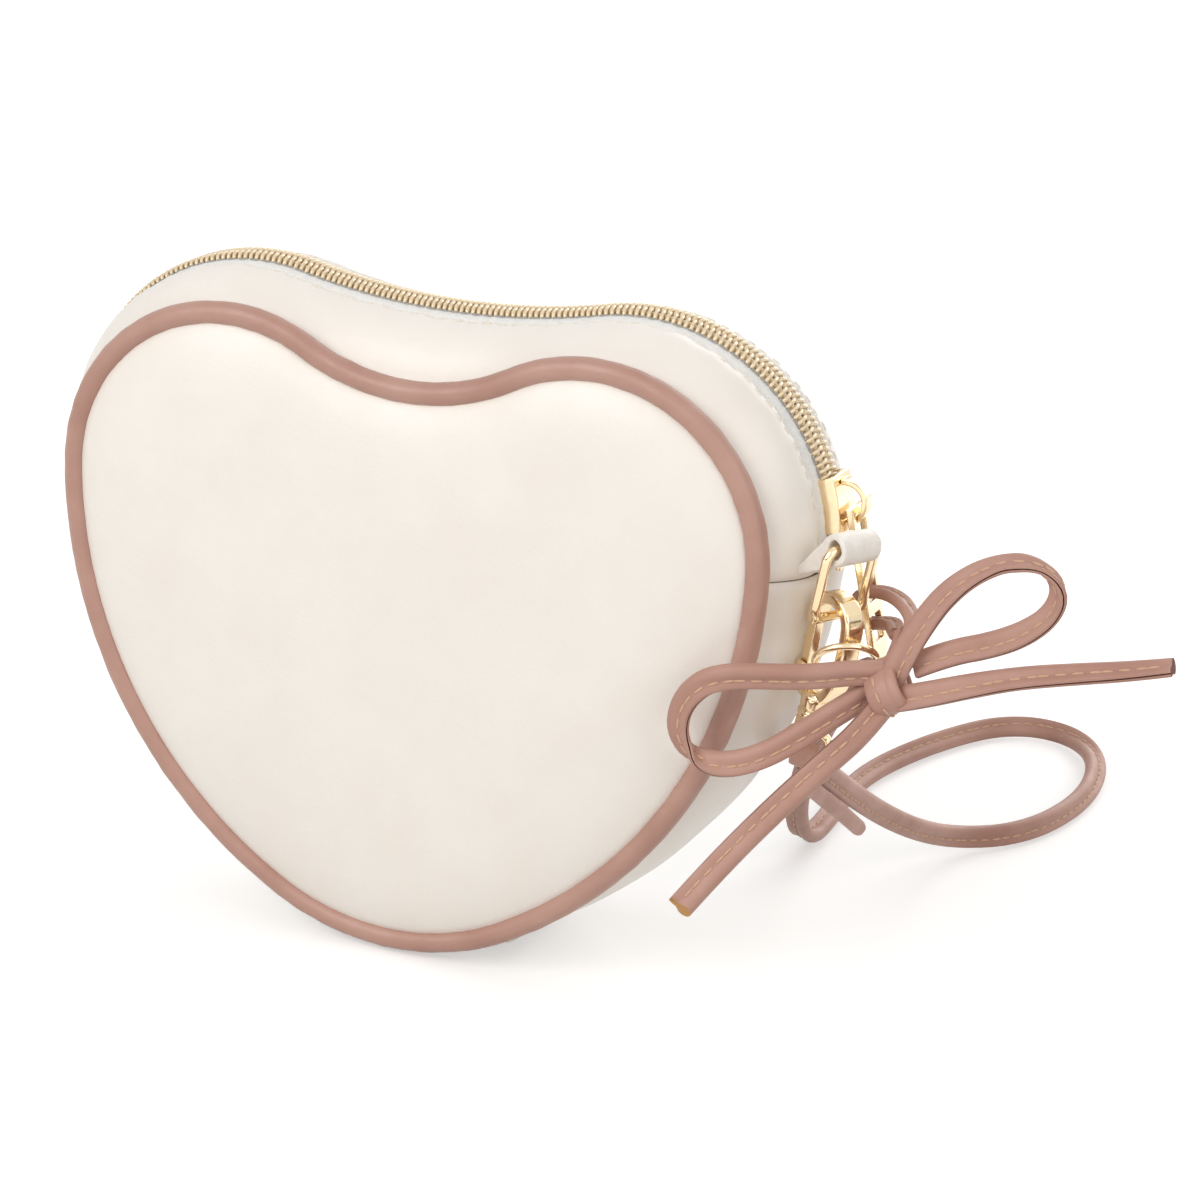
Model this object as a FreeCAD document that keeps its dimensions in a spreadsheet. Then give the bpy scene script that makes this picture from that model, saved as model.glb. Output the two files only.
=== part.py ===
"""Heart shaped zip purse with a clip-on wrist strap and a ribbon bow on the zip pull."""
import FreeCAD, Part
import math
import os
import Sketcher

from FreeCAD import Placement, Rotation, Vector

# Driving dimensions in millimetres and degrees, one spreadsheet row each.
SIZES = {
    # Heart outline of the padded face, seen from the front
    "lobe_offset": 36.0,
    "lobe_radius": 30.0,
    "tip_radius": 45.5,
    "lobe_rise": 34.7,
    "cleft_radius": 45.0,
    "mouth_cleft_radius": 140.0,
    # Depth of the pouch and the swell of its gusset
    "half_depth": 19.2,
    "foot_crown": 2.4,
    "mouth_crown": 4.9,
    "mouth_rise": 1.7,
    "mouth_spread": 2.2,
    "crown_power_share": 3.2,
    "gusset_wall": 1.4,
    "lower_seam_x": 22.0,
    "seam_drop": 1.5,
    "seam_gap": 0.1,
    # Padded faces, lining and piping
    "panel_puff": 4.6,
    "panel_round": 4.0,
    "skin_wall": 1.3,
    "core_round": 2.6,
    "lining_wall": 0.6,
    "lining_inset": 1.0,
    "piping_dia": 5.0,
    # Zip
    "tape_half_width": 9.5,
    "tape_gap": 2.0,
    "tape_wall": 0.7,
    "strip_edge": 6.2,
    "coil_half_width": 3.0,
    "coil_gap": 1.2,
    "coil_height": 2.2,
    "stop_length": 2.4,
    "stop_height": 1.2,
    # Zip slider and its bridge
    "slider_rest_angle": 13.0,
    "slider_span_angle": 15.0,
    "slider_half_width": 4.5,
    "slider_plate": 1.1,
    "slider_web": 0.6,
    "slider_flange": 1.0,
    "run_clearance": 0.35,
    "bridge_radius": 4.3,
    "bridge_wall": 1.1,
    "bridge_width": 3.2,
    # Zip pull
    "pull_width": 7.4,
    "pull_wall": 1.3,
    "pull_length": 28.5,
    "pull_rail": 1.4,
    "pull_head_length": 16.2,
    "pull_bar": 1.4,
    "pull_bridge_bar": 2.2,
    "pull_slot_length": 5.0,
    "pull_hang_angle": 14.0,
    "pull_seat_angle": 45.0,
    # Leather tab sewn into the side seam, and its ring
    "tab_centre_y": -13.6,
    "tab_width": 8.5,
    "tab_stand": 10.9,
    "tab_reach": 12.0,
    "tab_lift": 8.3,
    "tab_roll_radius": 2.9,
    "tunnel_radius": 1.7,
    "ring_wire": 1.8,
    "ring_width": 10.8,
    "ring_height": 13.4,
    "ring_corner": 2.2,
    "ring_hang_angle": 12.0,
    # Trigger clasp
    "clasp_turn_angle": -31.0,
    "clasp_tilt_angle": 11.0,
    "hook_inner_radius": 3.4,
    "hook_band": 2.4,
    "hook_thick": 3.8,
    "hook_length": 12.6,
    "hook_seat_gap": 1.0,
    "hook_base": 3.6,
    "nose_drop": 1.8,
    "gate_slot": 2.4,
    "gate_thick": 2.0,
    "gate_wall": 2.0,
    "gate_gap": 0.3,
    "gate_thumb": 0.4,
    "lug_height": 2.8,
    "pin_dia": 1.2,
    "spring_dia": 1.4,
    "spring_length": 1.6,
    "barrel_dia": 6.4,
    "barrel_length": 4.0,
    "stem_dia": 2.8,
    "stem_clearance": 0.2,
    "head_dia": 4.2,
    "head_wall": 1.2,
    "eye_flange": 1.3,
    "eye_wire": 1.6,
    "eye_width": 7.4,
    "eye_height": 4.8,
    "eye_corner": 1.6,
    # Wrist strap, its ring and folds
    "strap_dia": 4.2,
    "tail_dia": 3.0,
    "fold_wall": 1.5,
    "fold_width": 4.6,
    "fold_clearance": 0.2,
    "strap_ring_radius": 5.4,
    "strap_ring_wire": 1.3,
    "strap_ring_drop": 6.5,
    "strap_ring_tilt_angle": -44.0,
    "strap_ring_turn_angle": 26.4,
    "ring_fold_angle": 40.0,
    "ring_fold_wall": 1.0,
    "ring_fold_width": 2.4,
    # Ribbon bow
    "ribbon_dia": 4.2,
    "hanger_dia": 2.4,
    "knot_radius": 4.6,
    "knot_length": 6.4,
    "knot_round": 1.8,
}

# Routes of the soft leather cords, points chosen along each one.
KNOT_CENTRE = Vector(93.1, -17.4, 69.4)
KNOT_AXIS = Vector(0.93, -0.18, 0.32)

STRAP_ROUTE = [
    (76.1, -7.8, 49.6),
    (75.9, 6.3, 41.6),
    (75.7, 20.7, 33.4),
    (75.9, 35.0, 25.4),
    (76.6, 49.3, 17.8),
    (77.6, 63.7, 10.8),
    (79.4, 76.4, 5.4),
    (83.6, 85.0, 2.8),
    (89.6, 91.0, 2.5),
    (95.0, 101.8, 2.5),
    (98.0, 119.0, 2.5),
    (96.6, 136.0, 2.5),
    (92.2, 148.4, 2.5),
    (85.4, 155.8, 2.5),
    (77.0, 157.8, 2.5),
    (69.2, 153.6, 2.5),
    (63.0, 143.6, 2.5),
    (56.8, 128.2, 2.5),
    (52.4, 110.6, 2.5),
    (52.0, 94.4, 2.5),
    (53.2, 80.0, 2.5),
    (53.8, 68.8, 2.8),
    (54.2, 60.0, 6.4),
    (56.0, 50.0, 15.4),
    (60.2, 39.4, 25.6),
    (65.2, 28.2, 35.8),
    (70.0, 18.2, 44.6),
    (74.8, 9.0, 52.4),
    (79.4, 0.8, 59.6),
    (83.4, -5.2, 65.2),
    (86.1, -9.8, 69.2),
]
TAIL_ROUTE = [
    (76.1, -9.6, 46.1),
    (76.0, -1.4, 41.2),
    (75.8, 6.8, 36.4),
    (75.7, 15.2, 31.5),
    (75.7, 23.8, 26.3),
    (75.8, 31.6, 21.4),
]
LEFT_LOOP_ROUTE = [
    (93.1, -17.8, 72.0),
    (88.2, -20.8, 72.2),
    (81.6, -24.4, 71.2),
    (74.2, -27.0, 70.7),
    (67.3, -28.2, 70.0),
    (62.2, -28.6, 67.5),
    (59.2, -28.8, 62.9),
    (59.0, -28.8, 57.9),
    (62.0, -28.6, 54.1),
    (67.7, -28.2, 53.2),
    (74.5, -26.9, 55.9),
    (81.1, -24.4, 60.9),
    (87.0, -20.8, 65.8),
    (91.4, -17.8, 69.0),
]
RIGHT_LOOP_ROUTE = [
    (93.8, -18.8, 71.0),
    (95.8, -18.6, 76.6),
    (98.6, -18.6, 82.4),
    (102.2, -18.6, 88.2),
    (107.0, -18.6, 92.8),
    (113.0, -18.6, 95.8),
    (118.6, -18.4, 95.8),
    (122.0, -18.2, 92.4),
    (120.8, -17.8, 87.6),
    (116.2, -17.4, 83.2),
    (110.0, -16.8, 79.8),
    (103.2, -16.2, 77.2),
    (97.0, -16.2, 73.6),
]
RIGHT_TAIL_ROUTE = [
    (95.0, -19.2, 68.0),
    (100.6, -20.2, 70.2),
    (108.0, -20.4, 73.2),
    (116.6, -20.2, 76.2),
    (126.6, -19.8, 78.6),
    (135.6, -19.4, 80.6),
    (142.2, -19.0, 82.4),
]
FRONT_TAIL_ROUTE = [
    (92.8, -19.8, 66.2),
    (90.8, -24.8, 62.4),
    (87.0, -29.2, 58.2),
    (82.0, -32.7, 52.4),
    (76.2, -36.0, 45.1),
    (70.8, -39.2, 37.8),
    (66.6, -42.2, 31.6),
]
HANGER_ROUTE = [
    (93.6, -16.0, 71.2),
    (94.6, -10.8, 77.7),
    (92.4, -6.0, 80.4),
    (86.2, -0.4, 81.0),
    (80.1, -0.2, 79.5),
    (81.5, -0.2, 73.8),
    (87.6, -0.4, 75.4),
    (90.2, -5.6, 75.6),
    (92.3, -10.6, 76.3),
    (91.4, -15.2, 69.4),
]

doc = FreeCAD.newDocument("HeartPurse")
sheet = doc.addObject("Spreadsheet::Sheet", "Sizes")
for row, (alias, value) in enumerate(SIZES.items(), start=1):
    sheet.set("A%d" % row, alias)
    sheet.set("B%d" % row, str(value))
    sheet.setAlias("B%d" % row, alias)
doc.recompute()


def size(alias):
    return float(sheet.get(alias))


piping_radius = size("piping_dia") / 2
tip_lift = size("piping_dia")
half_width = size("lobe_offset") + size("lobe_radius")
tip_z = tip_lift + size("tip_radius")
lobe_z = tip_z + size("lobe_rise")
seam_z = lobe_z - size("seam_drop")
wall_edge = size("half_depth") - piping_radius
seam_stand = piping_radius + size("gusset_wall") / 2
reach = 4 * (half_width + lobe_z)

parts = []


def finish_part(label, thing):
    """Name a document object and keep it as one sub-part."""
    thing.Label = label
    parts.append(thing)
    return thing


def add_shape(label, shape, placement=None):
    """Keep a shape made with Part's functions as one sub-part."""
    thing = doc.addObject("Part::Feature", "shape_" + label)
    thing.Shape = shape
    if placement is not None:
        thing.Placement = placement
    return finish_part(label, thing)


# The heart outline

def crown_share(y):
    """How much of the gusset's crown is reached at depth y: none at the faces, all at the zip."""
    return 1 - min(abs(y) / wall_edge, 1) ** size("crown_power_share")


def heart_arcs(grow, crown):
    """Centre, radius, start and end angle of the six tangent arcs, tip first, going right."""
    tip = size("tip_radius") + size("foot_crown") * crown
    lobe = size("lobe_radius") + size("mouth_crown") * crown
    lobe_x = size("lobe_offset") + size("mouth_spread") * crown
    level = lobe_z + size("mouth_rise") * crown
    cleft = size("cleft_radius") + (size("mouth_cleft_radius") - size("cleft_radius")) * crown
    spare = lobe_x + lobe - tip
    climb = level - tip_z
    flank_x = (spare ** 2 - climb ** 2) / (2 * spare)
    flank = lobe_x + lobe - flank_x
    rise = math.sqrt((lobe + cleft) ** 2 - lobe_x ** 2)
    tip_turn = math.atan2(-climb, -flank_x)
    lobe_turn = math.atan2(rise, -lobe_x)
    return [
        ((0, tip_z), tip + grow, -math.pi - tip_turn, tip_turn),
        ((flank_x, level), flank + grow, tip_turn, 0),
        ((lobe_x, level), lobe + grow, 0, lobe_turn),
        ((0, level + rise), cleft - grow, lobe_turn - math.pi, -lobe_turn),
        ((-lobe_x, level), lobe + grow, math.pi - lobe_turn, math.pi),
        ((-flank_x, level), flank + grow, math.pi, math.pi - tip_turn),
    ]


def heart_wire(y, grow, crown):
    """The outline as a closed wire in the plane y, pushed outwards by grow."""
    edges = []
    for (cx, cz), radius, start, end in heart_arcs(grow, crown):
        turns = [start, (start + end) / 2, end]
        points = [Vector(cx + radius * math.cos(a), y, cz + radius * math.sin(a)) for a in turns]
        edges.append(Part.Arc(*points).toShape())
    return Part.Wire(edges)


def mouth_radius(y):
    """Radius of the gusset's outside round a lobe at depth y."""
    return size("lobe_radius") + seam_stand + size("mouth_crown") * crown_share(y)


def zone(x0, x1, z0, z1):
    """A block through the whole depth, for keeping one stretch of a band."""
    corner = Vector(x0, -reach / 2, z0)
    return Part.makeBox(x1 - x0, reach, z1 - z0, corner)


def pouch_block(stations, sink):
    """The pouch as a solid, sink below the gusset's outside and flat above its standing face."""
    wires = [heart_wire(y, seam_stand - sink, crown_share(y)) for y in stations]
    return Part.makeLoft(wires, True, True).common(zone(-reach / 2, reach / 2, sink, reach))


def band(stations, outer_sink, wall):
    """A closed band that follows the gusset, its outside outer_sink below the gusset's."""
    return pouch_block(stations, outer_sink).cut(pouch_block(stations, outer_sink + wall))


mouth_zone = zone(-reach / 2, reach / 2, seam_z + size("seam_gap") / 2, reach)


# Padded faces: a leather skin over a foam core, with a lining behind

def heart_sketch(body, name, inset):
    """A sketch of the heart on the body's XZ plane, inset from the padded face's edge."""
    plane = [f for f in body.Origin.OriginFeatures if f.Role == "XZ_Plane"][0]
    sketch = body.newObject("Sketcher::SketchObject", name)
    sketch.AttachmentSupport = [(plane, "")]
    sketch.MapMode = "FlatFace"
    drop = size(inset) if inset else 0
    for (cx, cz), radius, start, end in heart_arcs(-drop, 0):
        circle = Part.Circle(Vector(cx, cz, 0), Vector(0, 0, 1), radius)
        sketch.addGeometry(Part.ArcOfCircle(circle, min(start, end), max(start, end)))
    suffix = " - Sizes." + inset if inset else ""
    for index, alias in ((0, "tip_radius"), (2, "lobe_radius"), (4, "lobe_radius")):
        row = sketch.addConstraint(Sketcher.Constraint("Radius", index, size(alias) - drop))
        sketch.setExpression("Constraints[%d]" % row, "Sizes." + alias + suffix)
    return sketch


def heart_pad(name, inset, length, side, plane_y, round_alias=None):
    """A heart shaped plate from the plane plane_y, growing away from the pouch's middle."""
    body = doc.addObject("PartDesign::Body", "body_" + name)
    sketch = heart_sketch(body, "outline_" + name, inset)
    pad = body.newObject("PartDesign::Pad", "pad_" + name)
    pad.Profile = sketch
    pad.setExpression("Length", length)
    pad.Reversed = side > 0
    body.setExpression("Placement.Base.y", plane_y)
    doc.recompute()
    if round_alias:
        far = max(abs(v.Y) for v in pad.Shape.Vertexes)
        rims = []
        for number, edge in enumerate(pad.Shape.Edges, start=1):
            if all(abs(abs(v.Y) - far) < size("seam_gap") for v in edge.Vertexes):
                rims.append("Edge%d" % number)
        rounding = body.newObject("PartDesign::Fillet", "round_" + name)
        rounding.Base = (pad, rims)
        rounding.setExpression("Radius", "Sizes." + round_alias)
        body.Tip = rounding
    return body


for side, word in ((-1, "front"), (1, "back")):
    sign = "-" if side < 0 else ""
    seam_plane = sign + "Sizes.half_depth"
    form = heart_pad(word + "_form", None, "Sizes.panel_puff", side, seam_plane, "panel_round")
    foam = heart_pad(word + "_foam", "skin_wall", "Sizes.panel_puff - Sizes.skin_wall",
                     side, seam_plane, "core_round")
    finish_part(word + "_foam", foam)
    skin = doc.addObject("Part::Cut", "skin_" + word)
    skin.Base = form
    skin.Tool = foam
    finish_part(word + "_panel", skin)
    inner_plane = sign + "(Sizes.half_depth - Sizes.lining_wall)"
    lining = heart_pad(word + "_lining", "lining_inset", "Sizes.lining_wall", side, inner_plane)
    finish_part(word + "_lining", lining)

    # Round piping sewn in along the edge of the face
    rail = heart_wire(side * size("half_depth"), piping_radius, 0)
    start = rail.Edges[0].Vertexes[0].Point
    across = rail.Edges[0].tangentAt(rail.Edges[0].FirstParameter)
    ring = Part.Wire([Part.Circle(start, across, piping_radius).toShape()])
    tube = rail.makePipeShell([ring], True, False)
    add_shape(word + "_piping", tube)


# Gusset round the edge: two lower pieces and the strips beside the zip

DEEP_SHARES = (-1, -0.88, -0.7, -0.4, 0, 0.4, 0.7, 0.88, 1)
STRIP_SHARES = (0.55, 0.72, 0.88, 1)
deep_stations = [wall_edge * share for share in DEEP_SHARES]
lower_wall = band(deep_stations, 0, size("gusset_wall"))
lower_top = seam_z - size("seam_gap") / 2
split = size("seam_gap") / 2
left_zone = zone(-reach / 2, size("lower_seam_x") - split, 0, lower_top)
right_zone = zone(size("lower_seam_x") + split, reach / 2, 0, lower_top)
add_shape("lower_gusset_left", lower_wall.common(left_zone))
add_shape("lower_gusset_right", lower_wall.common(right_zone))

lining_sink = size("gusset_wall") + size("seam_gap")
tape_sink = lining_sink + size("seam_gap")
lining_band = band(deep_stations, lining_sink, size("lining_wall"))
lining_zone = zone(-reach / 2, reach / 2, 0, lower_top)
add_shape("gusset_lining", lining_band.common(lining_zone))

strips = []
for side, word in ((-1, "front"), (1, "back")):
    strip_stations = [side * size("strip_edge")] + [side * wall_edge * share for share in STRIP_SHARES]
    strip = band(strip_stations, 0, size("gusset_wall")).common(mouth_zone)
    strips.append(add_shape("zip_strip_" + word, strip))

    tape_mid = (size("tape_half_width") + size("tape_gap") / 2) / 2
    tape_stations = [side * y for y in (size("tape_gap") / 2, tape_mid, size("tape_half_width"))]
    tape = band(tape_stations, tape_sink, size("tape_wall")).common(mouth_zone)
    add_shape("zip_tape_" + word, tape)

    coil_stations = [side * size("coil_gap") / 2, side * size("coil_half_width")]
    rise = size("coil_height") - lining_sink
    coil = band(coil_stations, -rise, size("coil_height")).common(mouth_zone)
    add_shape("zip_coil_" + word, coil)

    backing_stations = [side * y for y in (size("tape_half_width") + size("seam_gap"), wall_edge)]
    backing = band(backing_stations, lining_sink, size("lining_wall")).common(mouth_zone)
    add_shape("strip_lining_" + word, backing)


# Zip stops: metal clips over the coil at both ends, just above the side seams

coil_rise = size("coil_height") - lining_sink
coil_top = mouth_radius(0) + coil_rise
tape_top = mouth_radius(size("coil_half_width")) - lining_sink
tape_under = mouth_radius(size("slider_half_width")) - tape_sink - size("tape_wall")
stop_band = band([-size("coil_half_width"), 0, size("coil_half_width")],
                 -(coil_rise + size("stop_height")), size("stop_height") - size("run_clearance"))
stop_zone = zone(-reach / 2, reach / 2, seam_z + size("seam_gap"), seam_z + size("stop_length"))
add_shape("zip_stops", stop_band.common(stop_zone))


# Zip slider, turned about the right lobe's centre so that it follows the coil

lobe_centre = Vector(size("lobe_offset") + size("mouth_spread"), 0, lobe_z + size("mouth_rise"))
lobe_axis = Vector(0, -1, 0)


def turned_plate(inner, outer, y0, y1, half_angle):
    """A plate between two radii of the right lobe, over an angle about the slider's middle."""
    corners = [Vector(inner, y0, 0), Vector(outer, y0, 0), Vector(outer, y1, 0), Vector(inner, y1, 0)]
    face = Part.Face(Part.makePolygon(corners + corners[:1]))
    solid = face.revolve(Vector(0, 0, 0), lobe_axis, 2 * half_angle)
    solid.rotate(Vector(0, 0, 0), lobe_axis, size("slider_rest_angle") - half_angle)
    solid.translate(lobe_centre)
    return solid


half_span = size("slider_span_angle") / 2
plate_in = coil_top + size("run_clearance")
plate_out = plate_in + size("slider_plate")
under_out = tape_under - size("run_clearance")
under_in = under_out - size("slider_plate")
wide = size("slider_half_width")
web = size("slider_web") / 2
top_plate = turned_plate(plate_in, plate_out, -wide, wide, half_span)
bottom_plate = turned_plate(under_in, under_out, -wide, wide, half_span)
slider_web = turned_plate(under_out, plate_in, -web, web, half_span / 2)
flange_in = tape_top + size("run_clearance")
flanges = [turned_plate(flange_in, plate_in, y, y + size("slider_flange"), half_span)
           for y in (-wide, wide - size("slider_flange"))]
add_shape("zip_slider", top_plate.fuse([bottom_plate, slider_web] + flanges).removeSplitter())

# The slider's own frame: X points out of the pouch, Z along the zip
slider_turn = Rotation(Vector(0, -1, 0), size("slider_rest_angle"))
slider_seat = lobe_centre + slider_turn.multVec(Vector(plate_out, 0, 0))


def plane_of(body, role):
    return [f for f in body.Origin.OriginFeatures if f.Role == role][0]


def new_sketch(body, name, role):
    sketch = body.newObject("Sketcher::SketchObject", name)
    sketch.AttachmentSupport = [(plane_of(body, role), "")]
    sketch.MapMode = "FlatFace"
    return sketch


def add_polygon(sketch, points):
    """A closed outline of straight lines through 2-D points."""
    for (x0, y0), (x1, y1) in zip(points, points[1:] + points[:1]):
        sketch.addGeometry(Part.LineSegment(Vector(x0, y0, 0), Vector(x1, y1, 0)))


def centred_pad(label, sketch_body, sketch, width):
    pad = sketch_body.newObject("PartDesign::Pad", "pad_" + label)
    pad.Profile = sketch
    pad.SideType = "Symmetric"
    pad.setExpression("Length", width)
    return pad


bridge = doc.addObject("PartDesign::Body", "body_slider_bridge")
bridge_sketch = new_sketch(bridge, "arch", "XZ_Plane")
for radius, alias in ((size("bridge_radius"), "Sizes.bridge_radius"),
                      (size("bridge_radius") - size("bridge_wall"),
                       "Sizes.bridge_radius - Sizes.bridge_wall")):
    circle = Part.Circle(Vector(0, 0, 0), Vector(0, 0, 1), radius)
    arc = bridge_sketch.addGeometry(Part.ArcOfCircle(circle, -math.pi / 2, math.pi / 2))
    row = bridge_sketch.addConstraint(Sketcher.Constraint("Radius", arc, radius))
    bridge_sketch.setExpression("Constraints[%d]" % row, alias)
for foot_side in (-1, 1):
    outer_end = Vector(0, foot_side * size("bridge_radius"), 0)
    inner_end = Vector(0, foot_side * (size("bridge_radius") - size("bridge_wall")), 0)
    bridge_sketch.addGeometry(Part.LineSegment(outer_end, inner_end))
centred_pad("slider_bridge", bridge, bridge_sketch, "Sizes.bridge_width")
bridge.Placement = Placement(slider_seat, slider_turn)
finish_part("slider_bridge", bridge)


# Zip pull: a flat frame that hangs from the bridge, with a slot for the ribbon

pull_seat = size("bridge_radius") - size("bridge_wall") - size("pull_bar") / 2 - size("run_clearance")
pull_lean = math.radians(size("pull_seat_angle"))
pull_axis = slider_seat + slider_turn.multVec(
    Vector(pull_seat * math.cos(pull_lean), 0, -pull_seat * math.sin(pull_lean)))
pull_half = size("pull_width") / 2
window_half = pull_half - size("pull_rail")
pull = doc.addObject("PartDesign::Body", "body_zip_pull")
pull_sketch = new_sketch(pull, "frame", "YZ_Plane")
pull_top = size("pull_bar") / 2
pull_end = pull_top - size("pull_length")
end_centre = Vector(0, pull_end + pull_half, 0)
end_circle = Part.Circle(end_centre, Vector(0, 0, 1), pull_half)
end_arc = pull_sketch.addGeometry(Part.ArcOfCircle(end_circle, math.pi, 2 * math.pi))
row = pull_sketch.addConstraint(Sketcher.Constraint("Radius", end_arc, pull_half))
pull_sketch.setExpression("Constraints[%d]" % row, "Sizes.pull_width / 2")
sides = [(-pull_half, end_centre.y), (-pull_half, pull_top),
         (pull_half, pull_top), (pull_half, end_centre.y)]
for (x0, y0), (x1, y1) in zip(sides, sides[1:]):
    pull_sketch.addGeometry(Part.LineSegment(Vector(x0, y0, 0), Vector(x1, y1, 0)))
head_top = pull_top - size("pull_bar")
head_low = head_top - size("pull_head_length")
slot_top = head_low - size("pull_bridge_bar")
slot_low = slot_top - size("pull_slot_length")
for top, low in ((head_top, head_low), (slot_top, slot_low)):
    add_polygon(pull_sketch, [(-window_half, low), (window_half, low),
                              (window_half, top), (-window_half, top)])
centred_pad("zip_pull", pull, pull_sketch, "Sizes.pull_wall")
pull_turn = Rotation(Vector(0, -1, 0), size("pull_hang_angle"))
pull.Placement = Placement(pull_axis, pull_turn)
finish_part("zip_pull", pull)


# Leather tab: a strip folded into a loop, its ends caught in the right side seam

tab_y = size("tab_centre_y")
tab_half = size("tab_width") / 2
seam_x = size("lobe_offset") + size("mouth_spread") * crown_share(tab_y) + mouth_radius(tab_y)
ring_pivot = Vector(seam_x + size("tab_stand"), tab_y, seam_z + size("tab_lift"))
side_turn = Rotation(Vector(0, 0, 1), size("clasp_turn_angle"))
slant = math.atan2(size("tab_lift"), size("tab_reach"))
spread = math.asin(size("tab_roll_radius") / math.hypot(size("tab_reach"), size("tab_lift")))
roll_turns = [slant - spread - math.pi / 2, slant, slant + spread + math.pi / 2]
roll_points = [Vector(size("tab_roll_radius") * math.cos(a), -tab_half,
                      size("tab_roll_radius") * math.sin(a)) for a in roll_turns]
tab_root = Vector(-size("tab_reach"), -tab_half, -size("tab_lift"))
tab_outline = Part.Wire([Part.makeLine(tab_root, roll_points[0]), Part.Arc(*roll_points).toShape(),
                         Part.makeLine(roll_points[2], tab_root)])
tab_blank = Part.Face(tab_outline).extrude(Vector(0, size("tab_width"), 0))
tunnel_start = Vector(0, -tab_half - size("seam_gap"), 0)
tunnel_length = size("tab_width") + 2 * size("seam_gap")
tunnel = Part.makeCylinder(size("tunnel_radius"), tunnel_length, tunnel_start, Vector(0, 1, 0))
tab = tab_blank.cut(tunnel)
tab.Placement = Placement(ring_pivot, side_turn)
gusset_block = pouch_block(deep_stations, 0)
add_shape("ring_tab", tab.cut(gusset_block).cut(strips[0].Shape))


# Rings and wire frames

def wire_frame(width, height, corner, wire):
    """A rounded rectangle of wire in the YZ plane, hanging from the middle of its top bar."""
    w, h = width / 2, height
    k = corner * (1 - math.cos(math.pi / 4))
    p = [Vector(0, corner - w, 0), Vector(0, w - corner, 0), Vector(0, w, -corner),
         Vector(0, w, corner - h), Vector(0, w - corner, -h), Vector(0, corner - w, -h),
         Vector(0, -w, corner - h), Vector(0, -w, -corner)]
    mids = [Vector(0, w - k, -k), Vector(0, w - k, k - h), Vector(0, k - w, k - h), Vector(0, k - w, -k)]
    edges = []
    for side_index, mid in enumerate(mids):
        a, b, c = p[2 * side_index], p[2 * side_index + 1], p[(2 * side_index + 2) % len(p)]
        edges.append(Part.makeLine(a, b))
        edges.append(Part.Arc(b, mid, c).toShape())
    path = Part.Wire(edges)
    ring = Part.Wire([Part.Circle(p[0], Vector(0, 1, 0), wire / 2).toShape()])
    return path.makePipeShell([ring], True, False)


ring_turn = side_turn.multiply(Rotation(Vector(0, 1, 0), size("ring_hang_angle")))
tab_ring = wire_frame(size("ring_width"), size("ring_height"), size("ring_corner"), size("ring_wire"))
add_shape("tab_ring", tab_ring, Placement(ring_pivot, ring_turn))


# Trigger clasp, in its own frame: the ring's lower bar at the origin, X across, Z up the hook

clasp_seat = ring_pivot + ring_turn.multVec(Vector(0, 0, -size("ring_height")))
clasp_turn = side_turn.multiply(Rotation(Vector(0, 1, 0), size("clasp_tilt_angle")))
clasp_place = Placement(clasp_seat, clasp_turn)
hook_in = size("hook_inner_radius")
hook_out = hook_in + size("hook_band")
arch_z = size("ring_wire") / 2 + size("hook_seat_gap") - hook_in
hook_low = arch_z - size("hook_length")
base_low = hook_low - size("hook_base")
nose_z = arch_z - size("nose_drop")
lug_z = hook_low + size("lug_height")
gate_x = -hook_in - size("hook_band") / 2
pivot_z = hook_low + size("lug_height") / 2


def block(x0, x1, y0, y1, z0, z1):
    return Part.makeBox(x1 - x0, y1 - y0, z1 - z0, Vector(x0, y0, z0))


hook_half = size("hook_thick") / 2
arch = Part.makeCylinder(hook_out, size("hook_thick"), Vector(0, -hook_half, arch_z), Vector(0, 1, 0))
legs = block(-hook_out, hook_out, -hook_half, hook_half, base_low, arch_z)
throat = Part.makeCylinder(hook_in, size("hook_thick"), Vector(0, -hook_half, arch_z), Vector(0, 1, 0))
opening = block(-hook_in, hook_in, -hook_half, hook_half, hook_low, arch_z)
mouth = block(-hook_out, -hook_in, -hook_half, hook_half, lug_z, nose_z)
slot_half = size("gate_slot") / 2
slot = block(-hook_out, -hook_in, -slot_half, slot_half, hook_low, nose_z)
hook = arch.fuse(legs).cut(throat).cut(opening).cut(mouth).cut(slot)
pin_hole = Part.makeCylinder(size("pin_dia") / 2, size("hook_thick"), Vector(gate_x, -hook_half, pivot_z),
                             Vector(0, 1, 0))
spring_well = Part.makeCylinder(size("spring_dia") / 2 + size("gate_gap") / 2, size("spring_length"),
                                Vector(gate_x, 0, hook_low - size("spring_length")))
hook = hook.cut(pin_hole).cut(spring_well)
barrel = Part.makeCylinder(size("barrel_dia") / 2, size("barrel_length"),
                           Vector(0, 0, base_low - size("barrel_length")))
cavity_wall = size("head_wall") + 2 * size("gate_gap")
cavity = Part.makeCylinder(size("head_dia") / 2 + size("stem_clearance"), cavity_wall,
                           Vector(0, 0, base_low - cavity_wall / 2))
bore = Part.makeCylinder(size("stem_dia") / 2 + size("stem_clearance"), size("barrel_length"),
                         Vector(0, 0, base_low - size("barrel_length")))
hook = hook.fuse(barrel).removeSplitter().cut(cavity).cut(bore)
add_shape("clasp_hook", hook, clasp_place)

gate_pin = doc.addObject("Part::Cylinder", "cylinder_gate_pin")
gate_pin.setExpression("Radius", "Sizes.pin_dia / 2")
gate_pin.setExpression("Height", "Sizes.hook_thick")
pin_start = Vector(gate_x, hook_half, pivot_z)
gate_pin.Placement = clasp_place.multiply(Placement(pin_start, Rotation(Vector(1, 0, 0), 90)))
finish_part("gate_pin", gate_pin)

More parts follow.
